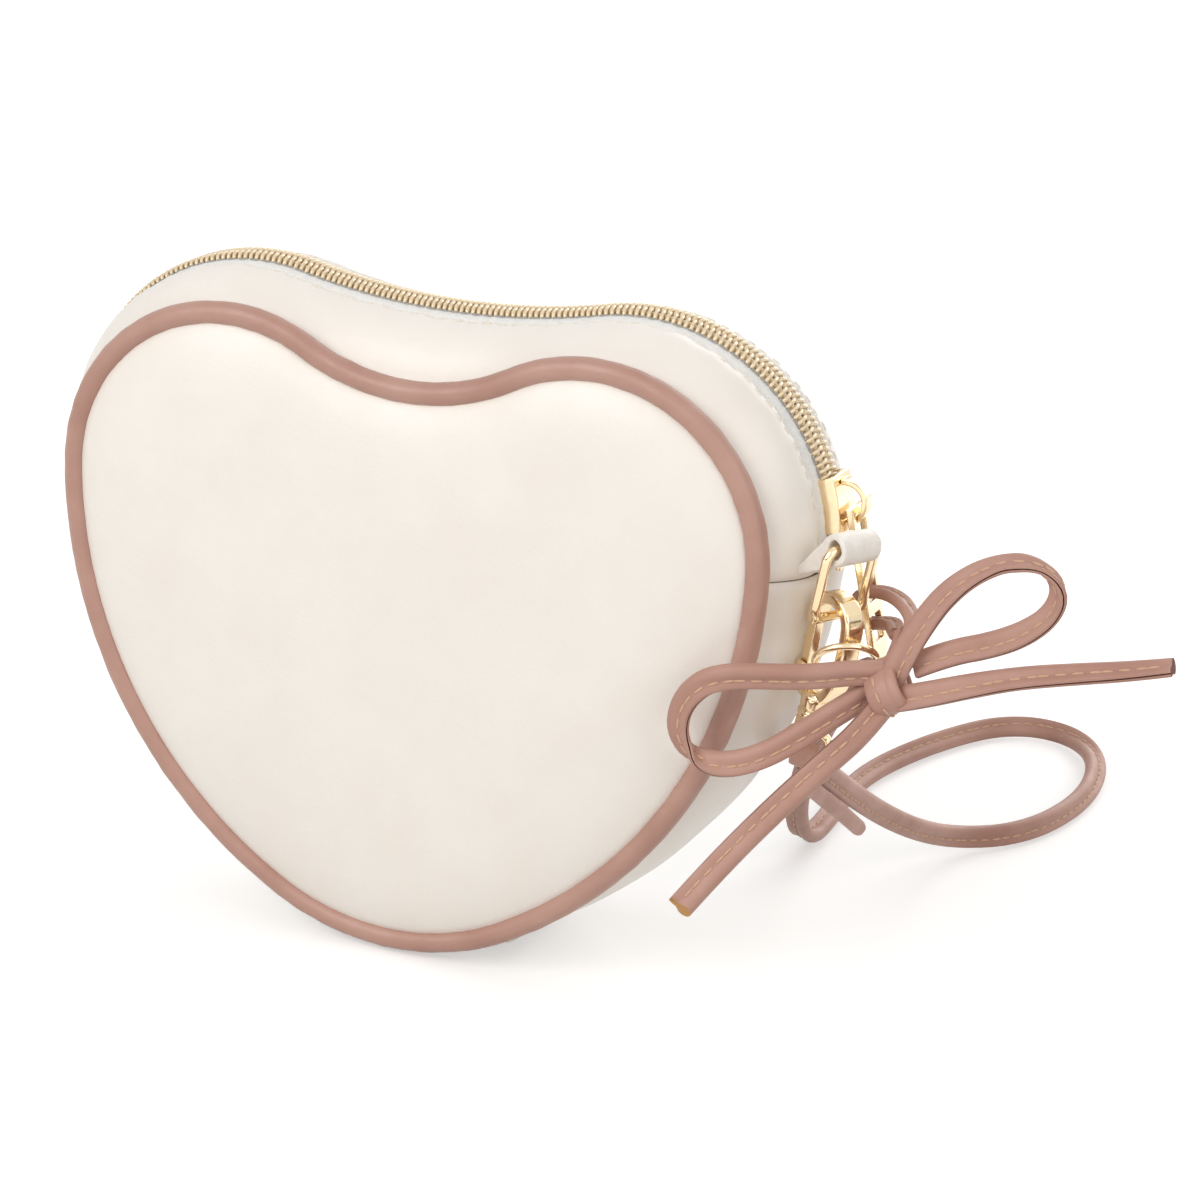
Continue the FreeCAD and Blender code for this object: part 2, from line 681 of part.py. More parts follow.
gate_half = size("gate_thick") / 2
gate_x0 = gate_x - size("gate_wall") / 2
gate_x1 = gate_x + size("gate_wall") / 2
heel = Part.makeCylinder(size("gate_wall") / 2, size("gate_thick"), Vector(gate_x, -gate_half, pivot_z),
                         Vector(0, 1, 0))
blade = block(gate_x0, gate_x1, -gate_half, gate_half, pivot_z, nose_z - size("gate_gap"))
thumb_z = (lug_z + nose_z) / 2
thumb = Part.makeCylinder(size("gate_thumb"), size("gate_thick"), Vector(gate_x0, -gate_half, thumb_z),
                          Vector(0, 1, 0))
thumb = thumb.cut(block(gate_x1, reach, -reach, reach, -reach, reach))
gate_hole = Part.makeCylinder(size("pin_dia") / 2 + size("stem_clearance") / 2, size("gate_thick"),
                              Vector(gate_x, -gate_half, pivot_z), Vector(0, 1, 0))
add_shape("clasp_gate", blade.fuse([heel, thumb]).removeSplitter().cut(gate_hole), clasp_place)

gate_spring = doc.addObject("Part::Cylinder", "cylinder_gate_spring")
gate_spring.setExpression("Radius", "Sizes.spring_dia / 2")
gate_spring.setExpression("Height", "Sizes.spring_length")
spring_start = Vector(gate_x, 0, hook_low - size("spring_length"))
gate_spring.Placement = clasp_place.multiply(Placement(spring_start, Rotation()))
finish_part("gate_spring", gate_spring)


# Swivel eye: a headed stem in the barrel, with a wire eye for the strap below

eye_turn = Rotation(Vector(0, 0, 1), 90 - size("clasp_turn_angle"))
head_z = base_low - cavity_wall / 2 + size("gate_gap")
flange_z = base_low - size("barrel_length") - size("gate_gap")
eye_top = flange_z - size("eye_flange") - size("eye_wire") / 4
stem = Part.makeCylinder(size("stem_dia") / 2, head_z - flange_z, Vector(0, 0, flange_z))
head = Part.makeCylinder(size("head_dia") / 2, size("head_wall"), Vector(0, 0, head_z))
flange = Part.makeCylinder(size("barrel_dia") / 2, size("eye_flange"),
                           Vector(0, 0, flange_z - size("eye_flange")))
eye_frame = wire_frame(size("eye_width"), size("eye_height"), size("eye_corner"), size("eye_wire"))
eye_frame.Placement = Placement(Vector(0, 0, eye_top), eye_turn)
add_shape("swivel_eye", stem.fuse([head, flange, eye_frame]).removeSplitter(), clasp_place)


# Leather cords: tubes of straight runs joined by tangent arcs

RUN_SHARE = 0.45


def cord_path(points):
    """Runs and arcs through the corners of a route, each arc as large as its runs allow."""
    corners = [Vector(*p) for p in points]
    edges, radii = [], []
    last = corners[0]
    for before, corner, after in zip(corners, corners[1:], corners[2:]):
        back = before - corner
        ahead = after - corner
        cut = RUN_SHARE * min(back.Length, ahead.Length)
        turn = math.pi - back.getAngle(ahead)
        radius = cut / math.tan(turn / 2)
        a = corner + Vector(back).normalize() * cut
        b = corner + Vector(ahead).normalize() * cut
        inward = (Vector(back).normalize() + Vector(ahead).normalize()).normalize()
        middle = corner + inward * (radius / math.cos(turn / 2) - radius)
        edges.append(Part.makeLine(last, a))
        edges.append(Part.Arc(a, middle, b).toShape())
        radii.append(radius)
        last = b
    edges.append(Part.makeLine(last, corners[-1]))
    return Part.Wire(edges), radii


def cord_tube(name, points, dia):
    """The tube along a route, with its radii and its volume printed beside section times length."""
    path, radii = cord_path(points)
    start = Vector(*points[0])
    heading = Vector(*points[1]) - start
    ring = Part.Wire([Part.Circle(start, heading, dia / 2).toShape()])
    tube = path.makePipeShell([ring], True, False)
    expected = math.pi * (dia / 2) ** 2 * path.Length
    print("%s length %.1f volume %.1f of %.1f radii %s"
          % (name, path.Length, tube.Volume, expected, ", ".join("%.1f" % r for r in radii)))
    return tube


def largest(shape):
    return max(shape.Solids, key=lambda s: s.Volume)


knot_axis = Vector(KNOT_AXIS).normalize()
knot_start = KNOT_CENTRE - knot_axis * (size("knot_length") / 2)
knot = Part.makeCylinder(size("knot_radius"), size("knot_length"), knot_start, knot_axis)
knot = knot.makeFillet(size("knot_round"), [e for e in knot.Edges if e.Closed])
add_shape("bow_knot", knot)

bow_routes = (("bow_left_loop", LEFT_LOOP_ROUTE, "ribbon_dia"),
              ("bow_right_loop", RIGHT_LOOP_ROUTE, "ribbon_dia"),
              ("bow_right_tail", RIGHT_TAIL_ROUTE, "ribbon_dia"),
              ("bow_front_tail", FRONT_TAIL_ROUTE, "ribbon_dia"),
              ("bow_hanger", HANGER_ROUTE, "hanger_dia"))
for name, route, dia in bow_routes:
    ribbon = cord_tube(name, route, size(dia))
    add_shape(name, largest(ribbon.cut(knot)))


# Wrist strap: one end folded round the swivel eye, the other round a split ring in the hook

def fold_round(wire, wall, width):
    """A leather sleeve folded round a wire that runs along X through the origin."""
    inner = wire / 2 + size("fold_clearance")
    start = Vector(-width / 2, 0, 0)
    sleeve = Part.makeCylinder(inner + wall, width, start, Vector(1, 0, 0))
    return sleeve.cut(Part.makeCylinder(inner, width, start, Vector(1, 0, 0)))


eye_bar = clasp_place.multVec(Vector(0, 0, eye_top - size("eye_height")))
eye_fold = fold_round(size("eye_wire"), size("fold_wall"), size("fold_width"))
eye_along = clasp_turn.multiply(eye_turn).multiply(Rotation(Vector(0, 0, 1), 90))
eye_fold.Placement = Placement(eye_bar, eye_along)
add_shape("strap_eye_fold", eye_fold)

ring_centre = clasp_place.multVec(Vector(hook_in + size("hook_band") / 2, 0, -size("strap_ring_drop")))
ring_lean = Rotation(Vector(0, 0, 1), size("strap_ring_turn_angle")).multiply(
    Rotation(Vector(1, 0, 0), size("strap_ring_tilt_angle")))
ring_place = Placement(ring_centre, ring_lean)
strap_ring = doc.addObject("Part::Torus", "torus_strap_ring")
strap_ring.setExpression("Radius1", "Sizes.strap_ring_radius")
strap_ring.setExpression("Radius2", "Sizes.strap_ring_wire / 2")
strap_ring.Placement = ring_place
finish_part("strap_ring", strap_ring)

fold_turn = Rotation(Vector(0, 0, 1), size("ring_fold_angle"))
fold_spot = fold_turn.multVec(Vector(size("strap_ring_radius"), 0, 0))
ring_fold = fold_round(size("strap_ring_wire"), size("ring_fold_wall"), size("ring_fold_width"))
along = fold_turn.multiply(Rotation(Vector(0, 0, 1), 90))
ring_fold.Placement = ring_place.multiply(Placement(fold_spot, along))
add_shape("strap_ring_fold", ring_fold)

strap = cord_tube("wrist_strap", STRAP_ROUTE, size("strap_dia"))
eye_core = Part.makeCylinder(size("eye_wire") / 2 + size("fold_clearance") + size("fold_wall"),
                             size("eye_width"), Vector(-size("eye_width") / 2, 0, 0), Vector(1, 0, 0))
eye_core.Placement = eye_fold.Placement
ring_core = Part.makeSphere(size("strap_ring_wire") / 2 + size("fold_clearance") + size("ring_fold_wall")
                            + size("ring_fold_width") / 4)
ring_core.Placement = Placement(ring_place.multVec(fold_spot), Rotation())
doc.recompute()
strap = largest(strap.cut(eye_core).cut(ring_core).cut(strap_ring.Shape))
add_shape("wrist_strap", strap)
tail = cord_tube("strap_tail", TAIL_ROUTE, size("tail_dia"))
add_shape("strap_tail", largest(tail.cut(eye_core)))


# Check every object, then write one file per sub-part

doc.recompute()
for thing in doc.Objects:
    if "Invalid" in thing.State or "Error" in thing.State:
        raise RuntimeError("%s did not compute" % thing.Label)
for thing in parts:
    if thing.Shape.isNull() or not thing.Shape.isValid() or not thing.Shape.Solids:
        raise RuntimeError("%s has no valid solid" % thing.Label)

os.makedirs("parts", exist_ok=True)
for thing in parts:
    thing.Shape.exportStep("parts/%s.step" % thing.Label)

joint_points = {
    "lobe centre": lobe_centre,
    "pull axis": pull_axis,
    "ring pivot": ring_pivot,
    "clasp seat": clasp_seat,
    "gate pivot": clasp_place.multVec(Vector(gate_x, 0, pivot_z)),
    "eye bar": eye_bar,
    "strap ring centre": ring_centre,
}
for name, point in joint_points.items():
    print("%s %.3f %.3f %.3f" % (name, point.x, point.y, point.z))
print("%d sub-parts" % len(parts))
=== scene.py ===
# %% [markdown]
# # A heart shaped purse
# The purse is a padded heart with piped edges, a zip over the top, a ribbon bow on the zip pull and a
# wrist strap that clips to a ring at the side. CAD has settled every size and every joint. This lesson
# dresses that frame: it keeps what is right as it stands, and models the soft and small things again.

# %% Open the frame
import math

import bmesh
import bpy
import numpy as np
from mathutils import Matrix, Vector, noise


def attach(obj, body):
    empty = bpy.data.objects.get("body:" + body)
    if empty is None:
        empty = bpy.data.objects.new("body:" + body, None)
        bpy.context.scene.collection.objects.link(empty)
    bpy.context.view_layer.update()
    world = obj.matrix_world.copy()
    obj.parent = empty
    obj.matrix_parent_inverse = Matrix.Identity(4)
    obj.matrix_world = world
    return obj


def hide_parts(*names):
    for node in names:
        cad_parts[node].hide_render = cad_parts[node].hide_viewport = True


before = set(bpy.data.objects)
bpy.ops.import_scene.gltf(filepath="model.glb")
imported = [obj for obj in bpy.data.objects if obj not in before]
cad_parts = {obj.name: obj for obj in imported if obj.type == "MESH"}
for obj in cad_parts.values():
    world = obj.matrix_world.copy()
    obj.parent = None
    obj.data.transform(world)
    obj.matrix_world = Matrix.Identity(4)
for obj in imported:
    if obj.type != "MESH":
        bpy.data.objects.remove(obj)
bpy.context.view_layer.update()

MM = 0.001

# %% [markdown]
# ## The camera
# The photograph was taken from the front right, a little above the purse, with a long lens and a slight
# roll. The place, aim and roll below were fitted to the heart's outline, so the model can be held against
# the picture point by point. A camera is turned by its three axes here, because roll is easy to see there.

# %% Place the camera
CAMERA_PLACE = Vector((247.334, -535.347, 258.389)) * MM
CAMERA_AIM = Vector((26.809, 11.756, 65.237)) * MM
CAMERA_ROLL = math.radians(3.187)
CAMERA_LENS_MM = 99.0

sight = (CAMERA_AIM - CAMERA_PLACE).normalized()
level = sight.cross(Vector((0, 0, 1))).normalized()
upright = level.cross(sight)
across = level * math.cos(CAMERA_ROLL) + upright * math.sin(CAMERA_ROLL)
upward = upright * math.cos(CAMERA_ROLL) - level * math.sin(CAMERA_ROLL)
bpy.ops.object.camera_add(location=CAMERA_PLACE)
camera = bpy.context.object
camera.matrix_world = (Matrix.Translation(CAMERA_PLACE)
                       @ Matrix((across, upward, -sight)).transposed().to_4x4())
camera.data.lens = CAMERA_LENS_MM
camera.data.sensor_width = 36.0
camera.data.clip_end = 20.0
bpy.context.scene.camera = camera
bpy.context.scene.view_settings.view_transform = "Standard"
print("camera", round((CAMERA_AIM - CAMERA_PLACE).length, 3), "m from what it aims at")

# %% [markdown]
# ## Node trees
# World, floor and every finish are small node trees. Each helper adds a node or two and returns the output,
# so a tree can be read as calls inside calls. Textures use Object coordinates, in metres, so a grain of
# 0.6 mm is a texture scale of 1 / 0.0006.

# %% Helpers for node trees
def tone(red, green, blue):
    """A colour as read on a screen, 0 to 255, made linear."""
    shares = [channel / 255 for channel in (red, green, blue)]
    return [c / 12.92 if c <= 0.04045 else ((c + 0.055) / 1.055) ** 2.4 for c in shares] + [1.0]


def dial(node, values):
    for socket, value in values.items():
        node.inputs[socket].default_value = value


def add_node(tree, kind, links=(), values=(), **settings):
    """A new node with its settings, the values of its sockets and the outputs that feed its sockets."""
    node = tree.nodes.new("ShaderNode" + kind)
    for word, setting in settings.items():
        setattr(node, word, setting)
    dial(node, dict(values))
    for socket, output in dict(links).items():
        tree.links.new(output, node.inputs[socket])
    return node


def new_finish(name, roughness):
    finish = bpy.data.materials.new(name)
    finish.use_nodes = True
    body = finish.node_tree.nodes["Principled BSDF"]
    dial(body, {"Roughness": roughness})
    return finish, finish.node_tree, body


def coordinates(tree, kind="Object", stretch=(1, 1, 1)):
    source = add_node(tree, "TexCoord").outputs[kind]
    return add_node(tree, "Mapping", {"Vector": source}, {"Scale": stretch}).outputs["Vector"]


def cloud(tree, where, size, detail=3.0):
    return add_node(tree, "TexNoise", {"Vector": where}, {"Scale": 1 / size, "Detail": detail}).outputs["Fac"]


def pebbles(tree, where, size):
    cells = add_node(tree, "TexVoronoi", {"Vector": where}, {"Scale": 1 / size}, feature="SMOOTH_F1")
    return cells.outputs["Distance"]


def stretch_range(tree, value, low, high, to_low, to_high):
    ends = {"From Min": low, "From Max": high, "To Min": to_low, "To Max": to_high}
    return add_node(tree, "MapRange", {"Value": value}, ends).outputs["Result"]


def two_tones(tree, factor, first, second):
    mix = add_node(tree, "Mix", {"Factor": factor}, {"A": first, "B": second}, data_type="RGBA")
    return mix.outputs["Result"]


def raise_from(tree, body, heights):
    """A chain of bumps from (height socket, depth in metres, strength)."""
    before = {}
    for height, depth, amount in heights:
        bump = add_node(tree, "Bump", {"Height": height, **before}, {"Distance": depth, "Strength": amount})
        before = {"Normal": bump.outputs["Normal"]}
    tree.links.new(before["Normal"], body.inputs["Normal"])


print("node helpers ready")

# %% [markdown]
# ## Light and floor
# The purse stands on white with hardly a shadow. One large soft lamp above the left of the camera gives
# the front its light, weaker ones fill the right, the top and the back, and the world is a pale room. The
# floor is a plain white sheet that takes the shadow. It also glows a little for the camera alone, more far
# away than near, so that its white is the picture's white and the soft shadow under the purse still shows.
# Two dark cards that the camera doesn't see give metal its darks.

# %% Lamps
PURSE_MIDDLE = Vector((20.0, 10.0, 60.0)) * MM


def soft_lamp(name, place, width, watts, colour):
    bpy.ops.object.light_add(type="AREA", location=place)
    lamp = bpy.context.object
    lamp.name = name
    lamp.rotation_euler = (PURSE_MIDDLE - Vector(place)).to_track_quat("-Z", "Y").to_euler()
    lamp.data.size = width
    lamp.data.energy = watts
    lamp.data.color = colour


soft_lamp("key_lamp", (-0.45, -1.05, 0.78), 0.9, 9.5, (1.0, 0.985, 0.96))
soft_lamp("fill_lamp", (1.0, -0.5, 0.6), 0.8, 4.0, (1.0, 0.97, 0.93))
soft_lamp("top_lamp", (0.05, 0.35, 1.2), 0.9, 0.8, (1.0, 1.0, 1.0))
soft_lamp("back_lamp", (0.25, 1.05, 0.55), 0.9, 6.0, (1.0, 0.985, 0.96))
print("lamps", len(bpy.data.lights))

# %% World
ROOM_LIGHT = 0.42
WHITE = (1, 1, 1, 1)


def seen_directly(tree):
    """A socket that is 1 for what the camera sees, also in a mirror or through glass."""
    path = add_node(tree, "LightPath").outputs
    total = path["Is Camera Ray"]
    for word in ("Is Glossy Ray", "Is Transmission Ray"):
        total = add_node(tree, "Math", {0: total, 1: path[word]}, operation="MAXIMUM").outputs[0]
    return total


world = bpy.data.worlds.new("pale_room")
bpy.context.scene.world = world
world.use_nodes = True
room = world.node_tree
sky = room.nodes["Background"]
dial(sky, {"Color": WHITE})
room.links.new(stretch_range(room, seen_directly(room), 0, 1, ROOM_LIGHT, 1), sky.inputs["Strength"])
print("world", world.name)

# %% Floor
FLOOR_TONE = (0.74, 0.74, 0.73, 1)
FLOOR_WIDTH = 8.0
FLOOR_Z = -0.3 * MM
GLOW_FROM, GLOW_TO = 0.1, 0.7
FLOOR_GLOW_NEAR, FLOOR_GLOW_FAR = 0.43, 0.84
floor_paint, paint, shader = new_finish("floor_white", 0.9)
dial(shader, {"Base Color": FLOOR_TONE, "Specular IOR Level": 0.0, "Emission Color": WHITE})
away = add_node(paint, "VectorMath", {0: coordinates(paint)}, operation="LENGTH").outputs["Value"]
reach = stretch_range(paint, away, GLOW_FROM, GLOW_TO, FLOOR_GLOW_NEAR, FLOOR_GLOW_FAR)
glow = add_node(paint, "Math", {0: seen_directly(paint), 1: reach}, operation="MULTIPLY")
paint.links.new(glow.outputs["Value"], shader.inputs["Emission Strength"])
bpy.ops.mesh.primitive_plane_add(size=FLOOR_WIDTH, location=(0, 0, FLOOR_Z))
floor = bpy.context.object
floor.name = "floor"
floor.data.materials.append(floor_paint)
print("floor", FLOOR_WIDTH, "m wide")

# %% Dark cards
CARD_PLACES = ((1.0, -0.1, 0.1), (-0.2, -1.2, 0.05))
CARD_WIDTH = 0.5
card_paint, _, card_shader = new_finish("card_dark", 1.0)
dial(card_shader, {"Base Color": (0.10, 0.06, 0.03, 1)})
for place in CARD_PLACES:
    bpy.ops.mesh.primitive_plane_add(size=CARD_WIDTH, location=place)
    card = bpy.context.object
    card.name = "card"
    card.rotation_euler = (PURSE_MIDDLE - Vector(place)).to_track_quat("Z", "Y").to_euler()
    card.data.materials.append(card_paint)
    card.visible_camera = False
print("cards", len(CARD_PLACES))

# %% [markdown]
# ## Finishes
# Leather has a pebble of cells under a soft sheen and a slow change of tone. Woven tape reads its own UV
# map, because its ribs follow the zip. Metal has faint polishing marks, and thread a fine twist.

# %% Leather finishes
def leather(name, light, dark, grain, rough_low, rough_high, coat, shine=0.45, sheen=0.06, depth=0.00012):
    """Pebbled leather, with patches of tone 16 mm wide, wear 4 mm wide and soft waves 7 mm wide."""
    finish, tree, body = new_finish(name, rough_low)
    where = coordinates(tree)
    patches = stretch_range(tree, cloud(tree, where, 0.016), 0.35, 0.68, 0.0, 1.0)
    tree.links.new(two_tones(tree, patches, light, dark), body.inputs["Base Color"])
    worn = stretch_range(tree, cloud(tree, where, 0.004), 0.3, 0.7, rough_low, rough_high)
    tree.links.new(worn, body.inputs["Roughness"])
    dial(body, {"Coat Weight": coat, "Coat Roughness": 0.28, "Specular IOR Level": shine,
                "Sheen Weight": sheen})
    raise_from(tree, body, [(pebbles(tree, where, grain), depth, 0.35),
                            (cloud(tree, where, grain * 0.35), depth * 0.5, 0.25),
                            (cloud(tree, where, 0.007), 0.0006, 0.10)])
    return finish


PEARL = leather("pearl_leather_finish", tone(242, 237, 230), tone(240, 233, 225), 0.0006, 0.36, 0.42, 0.12)
PIPING = leather("piping_leather_finish", tone(188, 148, 134), tone(174, 132, 118), 0.0005, 0.38, 0.5,
                 0.14, 0.4, 0.0)
RIBBON = leather("ribbon_leather_finish", tone(192, 152, 138), tone(176, 134, 120), 0.0005, 0.40, 0.52,
                 0.04, 0.2, 0.0)
# The slit finish is painted shade: the groove between the strap's two layers, and the bow ends hidden in the
# knot, are painted a darker brown.
SLIT_SHADE = leather("slit_shade_finish", tone(118, 82, 70), tone(104, 70, 58), 0.0005, 0.7, 0.8, 0.0, 0.2, 0.0)
RAW_EDGE = leather("raw_edge_finish", tone(214, 168, 112), tone(168, 118, 76), 0.0004, 0.8, 0.9,
                   0.0, 0.2, 0.0)
print("leathers", [f.name for f in (PEARL, PIPING, RIBBON, SLIT_SHADE, RAW_EDGE)])

# %% Cloth finishes
def cloth(name, light, dark, kind, stretch, rib, depth):
    finish, tree, body = new_finish(name, 0.85)
    where = coordinates(tree, kind, stretch)
    weave = add_node(tree, "TexWave", {"Vector": where}, {"Scale": 1 / rib, "Distortion": 1.5})
    fuzz = cloud(tree, coordinates(tree), 0.0007)
    tree.links.new(two_tones(tree, fuzz, light, dark), body.inputs["Base Color"])
    dial(body, {"Sheen Weight": 0.2})
    raise_from(tree, body, [(weave.outputs["Fac"], depth, 0.4), (fuzz, 0.0001, 0.4)])
    return finish


TAPE = cloth("zip_tape_finish", tone(250, 249, 247), tone(232, 230, 226), "UV", (240, 9, 1), 1.0, 0.00015)
LINING = cloth("lining_finish", tone(214, 204, 190), tone(196, 184, 168), "Object", (1, 1, 1), 0.0015, 0.0002)
print("cloths", TAPE.name, LINING.name)

# %% Coil, metal and thread finishes
def fine_finish(name, roughness, light, dark, patch, mark, depth, amount):
    """Two tones in patches over fine marks in relief. Patch, mark and depth are in metres."""
    finish, tree, body = new_finish(name, roughness)
    where = coordinates(tree)
    tree.links.new(two_tones(tree, cloud(tree, where, patch), light, dark), body.inputs["Base Color"])
    raise_from(tree, body, [(cloud(tree, where, mark), depth, amount)])
    return finish, tree, body


def thread(name, light, dark):
    return fine_finish(name, 0.6, light, dark, 0.0006, 0.00025, 0.0001, 0.5)[0]


COIL, _, coil_body = fine_finish("zip_coil_finish", 0.32, tone(240, 222, 192), tone(220, 198, 162),
                                 0.0016, 0.0004, 0.0001, 0.3)
dial(coil_body, {"Metallic": 0.2})
GOLD, gold_tree, gold_body = fine_finish("light_gold_finish", 0.14, tone(248, 228, 192), tone(238, 212, 170),
                                         0.006, 0.003, 0.00005, 0.25)
dial(gold_body, {"Metallic": 1.0})
polish = cloud(gold_tree, coordinates(gold_tree), 0.0012, 5.0)
gold_tree.links.new(stretch_range(gold_tree, polish, 0.3, 0.7, 0.10, 0.22), gold_body.inputs["Roughness"])
THREAD = thread("thread_finish", tone(216, 180, 152), tone(194, 154, 126))
PALE_THREAD = thread("pale_thread_finish", tone(240, 234, 222), tone(222, 212, 196))
# The grey thread is partly the coil's sewing and partly painted shade along the coil's edge.
GREY_THREAD_AND_SHADE = thread("grey_thread_and_shade_finish", tone(172, 170, 166), tone(138, 136, 132))
print("finishes", len(bpy.data.materials))

# %% [markdown]
# ## Working by hand in code
# A grid primitive is the easiest start for a sheet, a strap or a tube: it comes with ordered points and
# a UV map, and its points are then moved to rows that follow the real form. A row of the grid that ends
# where it began is welded into a tube. Every operator acts on the selection, so one piece is picked first.

# %% Grid, weld and settle
def pick_only(piece):
    bpy.ops.object.select_all(action="DESELECT")
    piece.select_set(True)
    bpy.context.view_layer.objects.active = piece


def laid_grid(name, rows):
    """A grid whose points are moved to the given rows."""
    rows = np.asarray(rows, dtype=float)
    down, along = rows.shape[0] - 1, rows.shape[1] - 1
    bpy.ops.mesh.primitive_grid_add(x_subdivisions=along, y_subdivisions=down, size=1)
    piece = bpy.context.object
    piece.name = name
    piece.data.name = name
    piece.data.vertices.foreach_set("co", rows.reshape(-1))
    piece.data.update()
    return piece


def weld(piece, gap, close=False):
    """Merges doubles, closes open ends if asked, and turns the faces outwards."""
    pick_only(piece)
    bpy.ops.object.mode_set(mode="EDIT")
    bpy.ops.mesh.select_all(action="SELECT")
    bpy.ops.mesh.remove_doubles(threshold=gap)
    if close:
        bpy.ops.mesh.select_all(action="SELECT")
        bpy.ops.mesh.fill_holes(sides=0)
    bpy.ops.mesh.select_all(action="SELECT")
    bpy.ops.mesh.normals_make_consistent(inside=False)
    bpy.ops.object.mode_set(mode="OBJECT")


def apply_modifier(piece, kind, **settings):
    pick_only(piece)
    step = piece.modifiers.new(kind.lower(), kind)
    for word, value in settings.items():
        setattr(step, word, value)
    bpy.ops.object.modifier_apply(modifier=step.name)


def smooth(piece, degrees=None):
    pick_only(piece)
    if degrees is None:
        bpy.ops.object.shade_smooth()
    else:
        bpy.ops.object.shade_smooth_by_angle(angle=math.radians(degrees))


def settle(piece, body, finishes, nodes=()):
    """Gives a piece its finishes, its body and the CAD nodes that it stands for."""
    for finish in finishes:
        piece.data.materials.append(finish)
    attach(piece, body)
    if nodes:
        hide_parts(*nodes)
    print(piece.name, len(piece.data.polygons), "faces on", body)
    return piece


def copies(name, seed, places):
    """One mesh of copies of a seed mesh, each at its own matrix and as smooth as the seed."""
    store = bmesh.new()
    for place in places:
        first = len(store.verts)
        store.from_mesh(seed.data)
        store.verts.ensure_lookup_table()
        bmesh.ops.transform(store, matrix=place, verts=store.verts[first:])
    mesh = bpy.data.meshes.new(name)
    store.to_mesh(mesh)
    store.free()
    piece = bpy.data.objects.new(name, mesh)
    bpy.context.scene.collection.objects.link(piece)
    return piece


def axes_at(point, x_axis, y_axis, z_axis):
    return Matrix.Translation(point) @ Matrix((x_axis, y_axis, z_axis)).transposed().to_4x4()


FINE_GAP = 0.000002
print("mesh helpers ready")

# %% One stitch
# A stitch is a fat little capsule, 2.1 mm long, along X.
STITCH_LENGTH = 2.1 * MM
STITCH_RADIUS = 0.26 * MM
bpy.ops.mesh.primitive_uv_sphere_add(segments=8, ring_count=6, radius=STITCH_RADIUS,
                                     rotation=(0, math.pi / 2, 0))
stitch_seed = bpy.context.object
stitch_seed.name = "stitch_seed"
bpy.ops.object.transform_apply(location=True, rotation=True, scale=True)
for spot in stitch_seed.data.vertices:
    reach = spot.co.x / STITCH_RADIUS
    spot.co.x = (STITCH_LENGTH / 2) * math.copysign(abs(reach) ** 0.7, reach)
smooth(stitch_seed)
print("stitch", len(stitch_seed.data.polygons), "faces")

# %% [markdown]
# ## Ribbon and strap
# The strap and the bow are the same thing: a strip folded over a thin cord, so one edge is round, and
# sewn beside the cord, so the other edge is a flat pair of layers with a slit between them. A round
# bevel would miss that, so each one is a mesh with this section, laid along the route's own smooth line.
# The line is a NURBS curve with the route's points, and its points are read back from a curve without
# bevel. A few hints along the way say to which side the flat edge points.

# %% The line of a route
STEP_ALONG = 1.0 * MM


def runs_along(points):
    """How far along a line each of its points is."""
    return np.concatenate([[0], np.cumsum(np.linalg.norm(np.diff(points, axis=0), axis=1))])


def smooth_line(route):
    """Even points of the NURBS line that has the route, in mm, as its control points, and its length."""
    curve = bpy.data.curves.new("route", "CURVE")
    curve.dimensions = "3D"
    curve.resolution_u = 10
    line = curve.splines.new("NURBS")
    line.points.add(len(route) - 1)
    for knot, place in zip(line.points, route):
        knot.co = (place[0] * MM, place[1] * MM, place[2] * MM, 1.0)
    line.order_u = 3
    line.use_endpoint_u = True
    holder = bpy.data.objects.new("route", curve)
    bpy.context.scene.collection.objects.link(holder)
    bpy.context.view_layer.update()
    mesh = bpy.data.meshes.new_from_object(holder)
    points = np.array([spot.co[:] for spot in mesh.vertices])
    bpy.data.objects.remove(holder)
    bpy.data.curves.remove(curve)
    bpy.data.meshes.remove(mesh)
    run = runs_along(points)
    count = max(int(round(run[-1] / STEP_ALONG)), 8)
    at = np.linspace(0, run[-1], count + 1)
    return np.stack([np.interp(at, run, points[:, k]) for k in range(3)], axis=1), run[-1]


def unit(vectors):
    return vectors / np.linalg.norm(vectors, axis=-1, keepdims=True)


def frames_along(points, hints):
    """Tangents, and the flat edge's direction and the face's direction at each point."""
    ahead = unit(np.gradient(points, axis=0))
    at = np.linspace(0, 1, len(points))
    keys = [h[0] for h in hints]
    wish = np.stack([np.interp(at, keys, [h[1][k] for h in hints]) for k in range(3)], axis=1)
    edge = unit(wish - ahead * np.sum(wish * ahead, axis=1, keepdims=True))
    return ahead, edge, np.cross(ahead, edge)


print("a point each", STEP_ALONG, "m of a route")

# %% The strap's section
# In mm: the first number runs from the round edge to the open edge, the second is the thickness.
ROUND_MIDDLE, ROUND_RADIUS = -0.95, 1.55
round_edge = [(ROUND_MIDDLE + ROUND_RADIUS * math.cos(a), ROUND_RADIUS * math.sin(a))
              for a in map(math.radians, range(40, 321, 28))]
SEAM_LINE = 0.75
open_edge = [(SEAM_LINE, -0.72), (1.3, -0.84), (2.2, -0.82), (2.5, -0.58), (2.5, -0.14), (1.8, -0.06),
             (1.8, 0.06), (2.5, 0.14), (2.5, 0.58), (2.2, 0.82), (1.3, 0.84), (SEAM_LINE, 0.72)]
SECTION_SCALE = 0.92
STRAP_SECTION = np.array(round_edge + open_edge) * SECTION_SCALE
SLIT_COLUMNS = [len(round_edge) + k for k in (4, 5, 6)]
print("section of", len(STRAP_SECTION), "points")

# %% A strap along its route
EVEN = ((0, 1), (1, 1))
SLANT_SHARES = ((-1, 1.0), (-2, 0.7), (-3, 0.4), (-4, 0.15))
SLANT_SLOPE = 0.7
BODY_INDEX, SLIT_INDEX, END_INDEX = 0, 1, 2


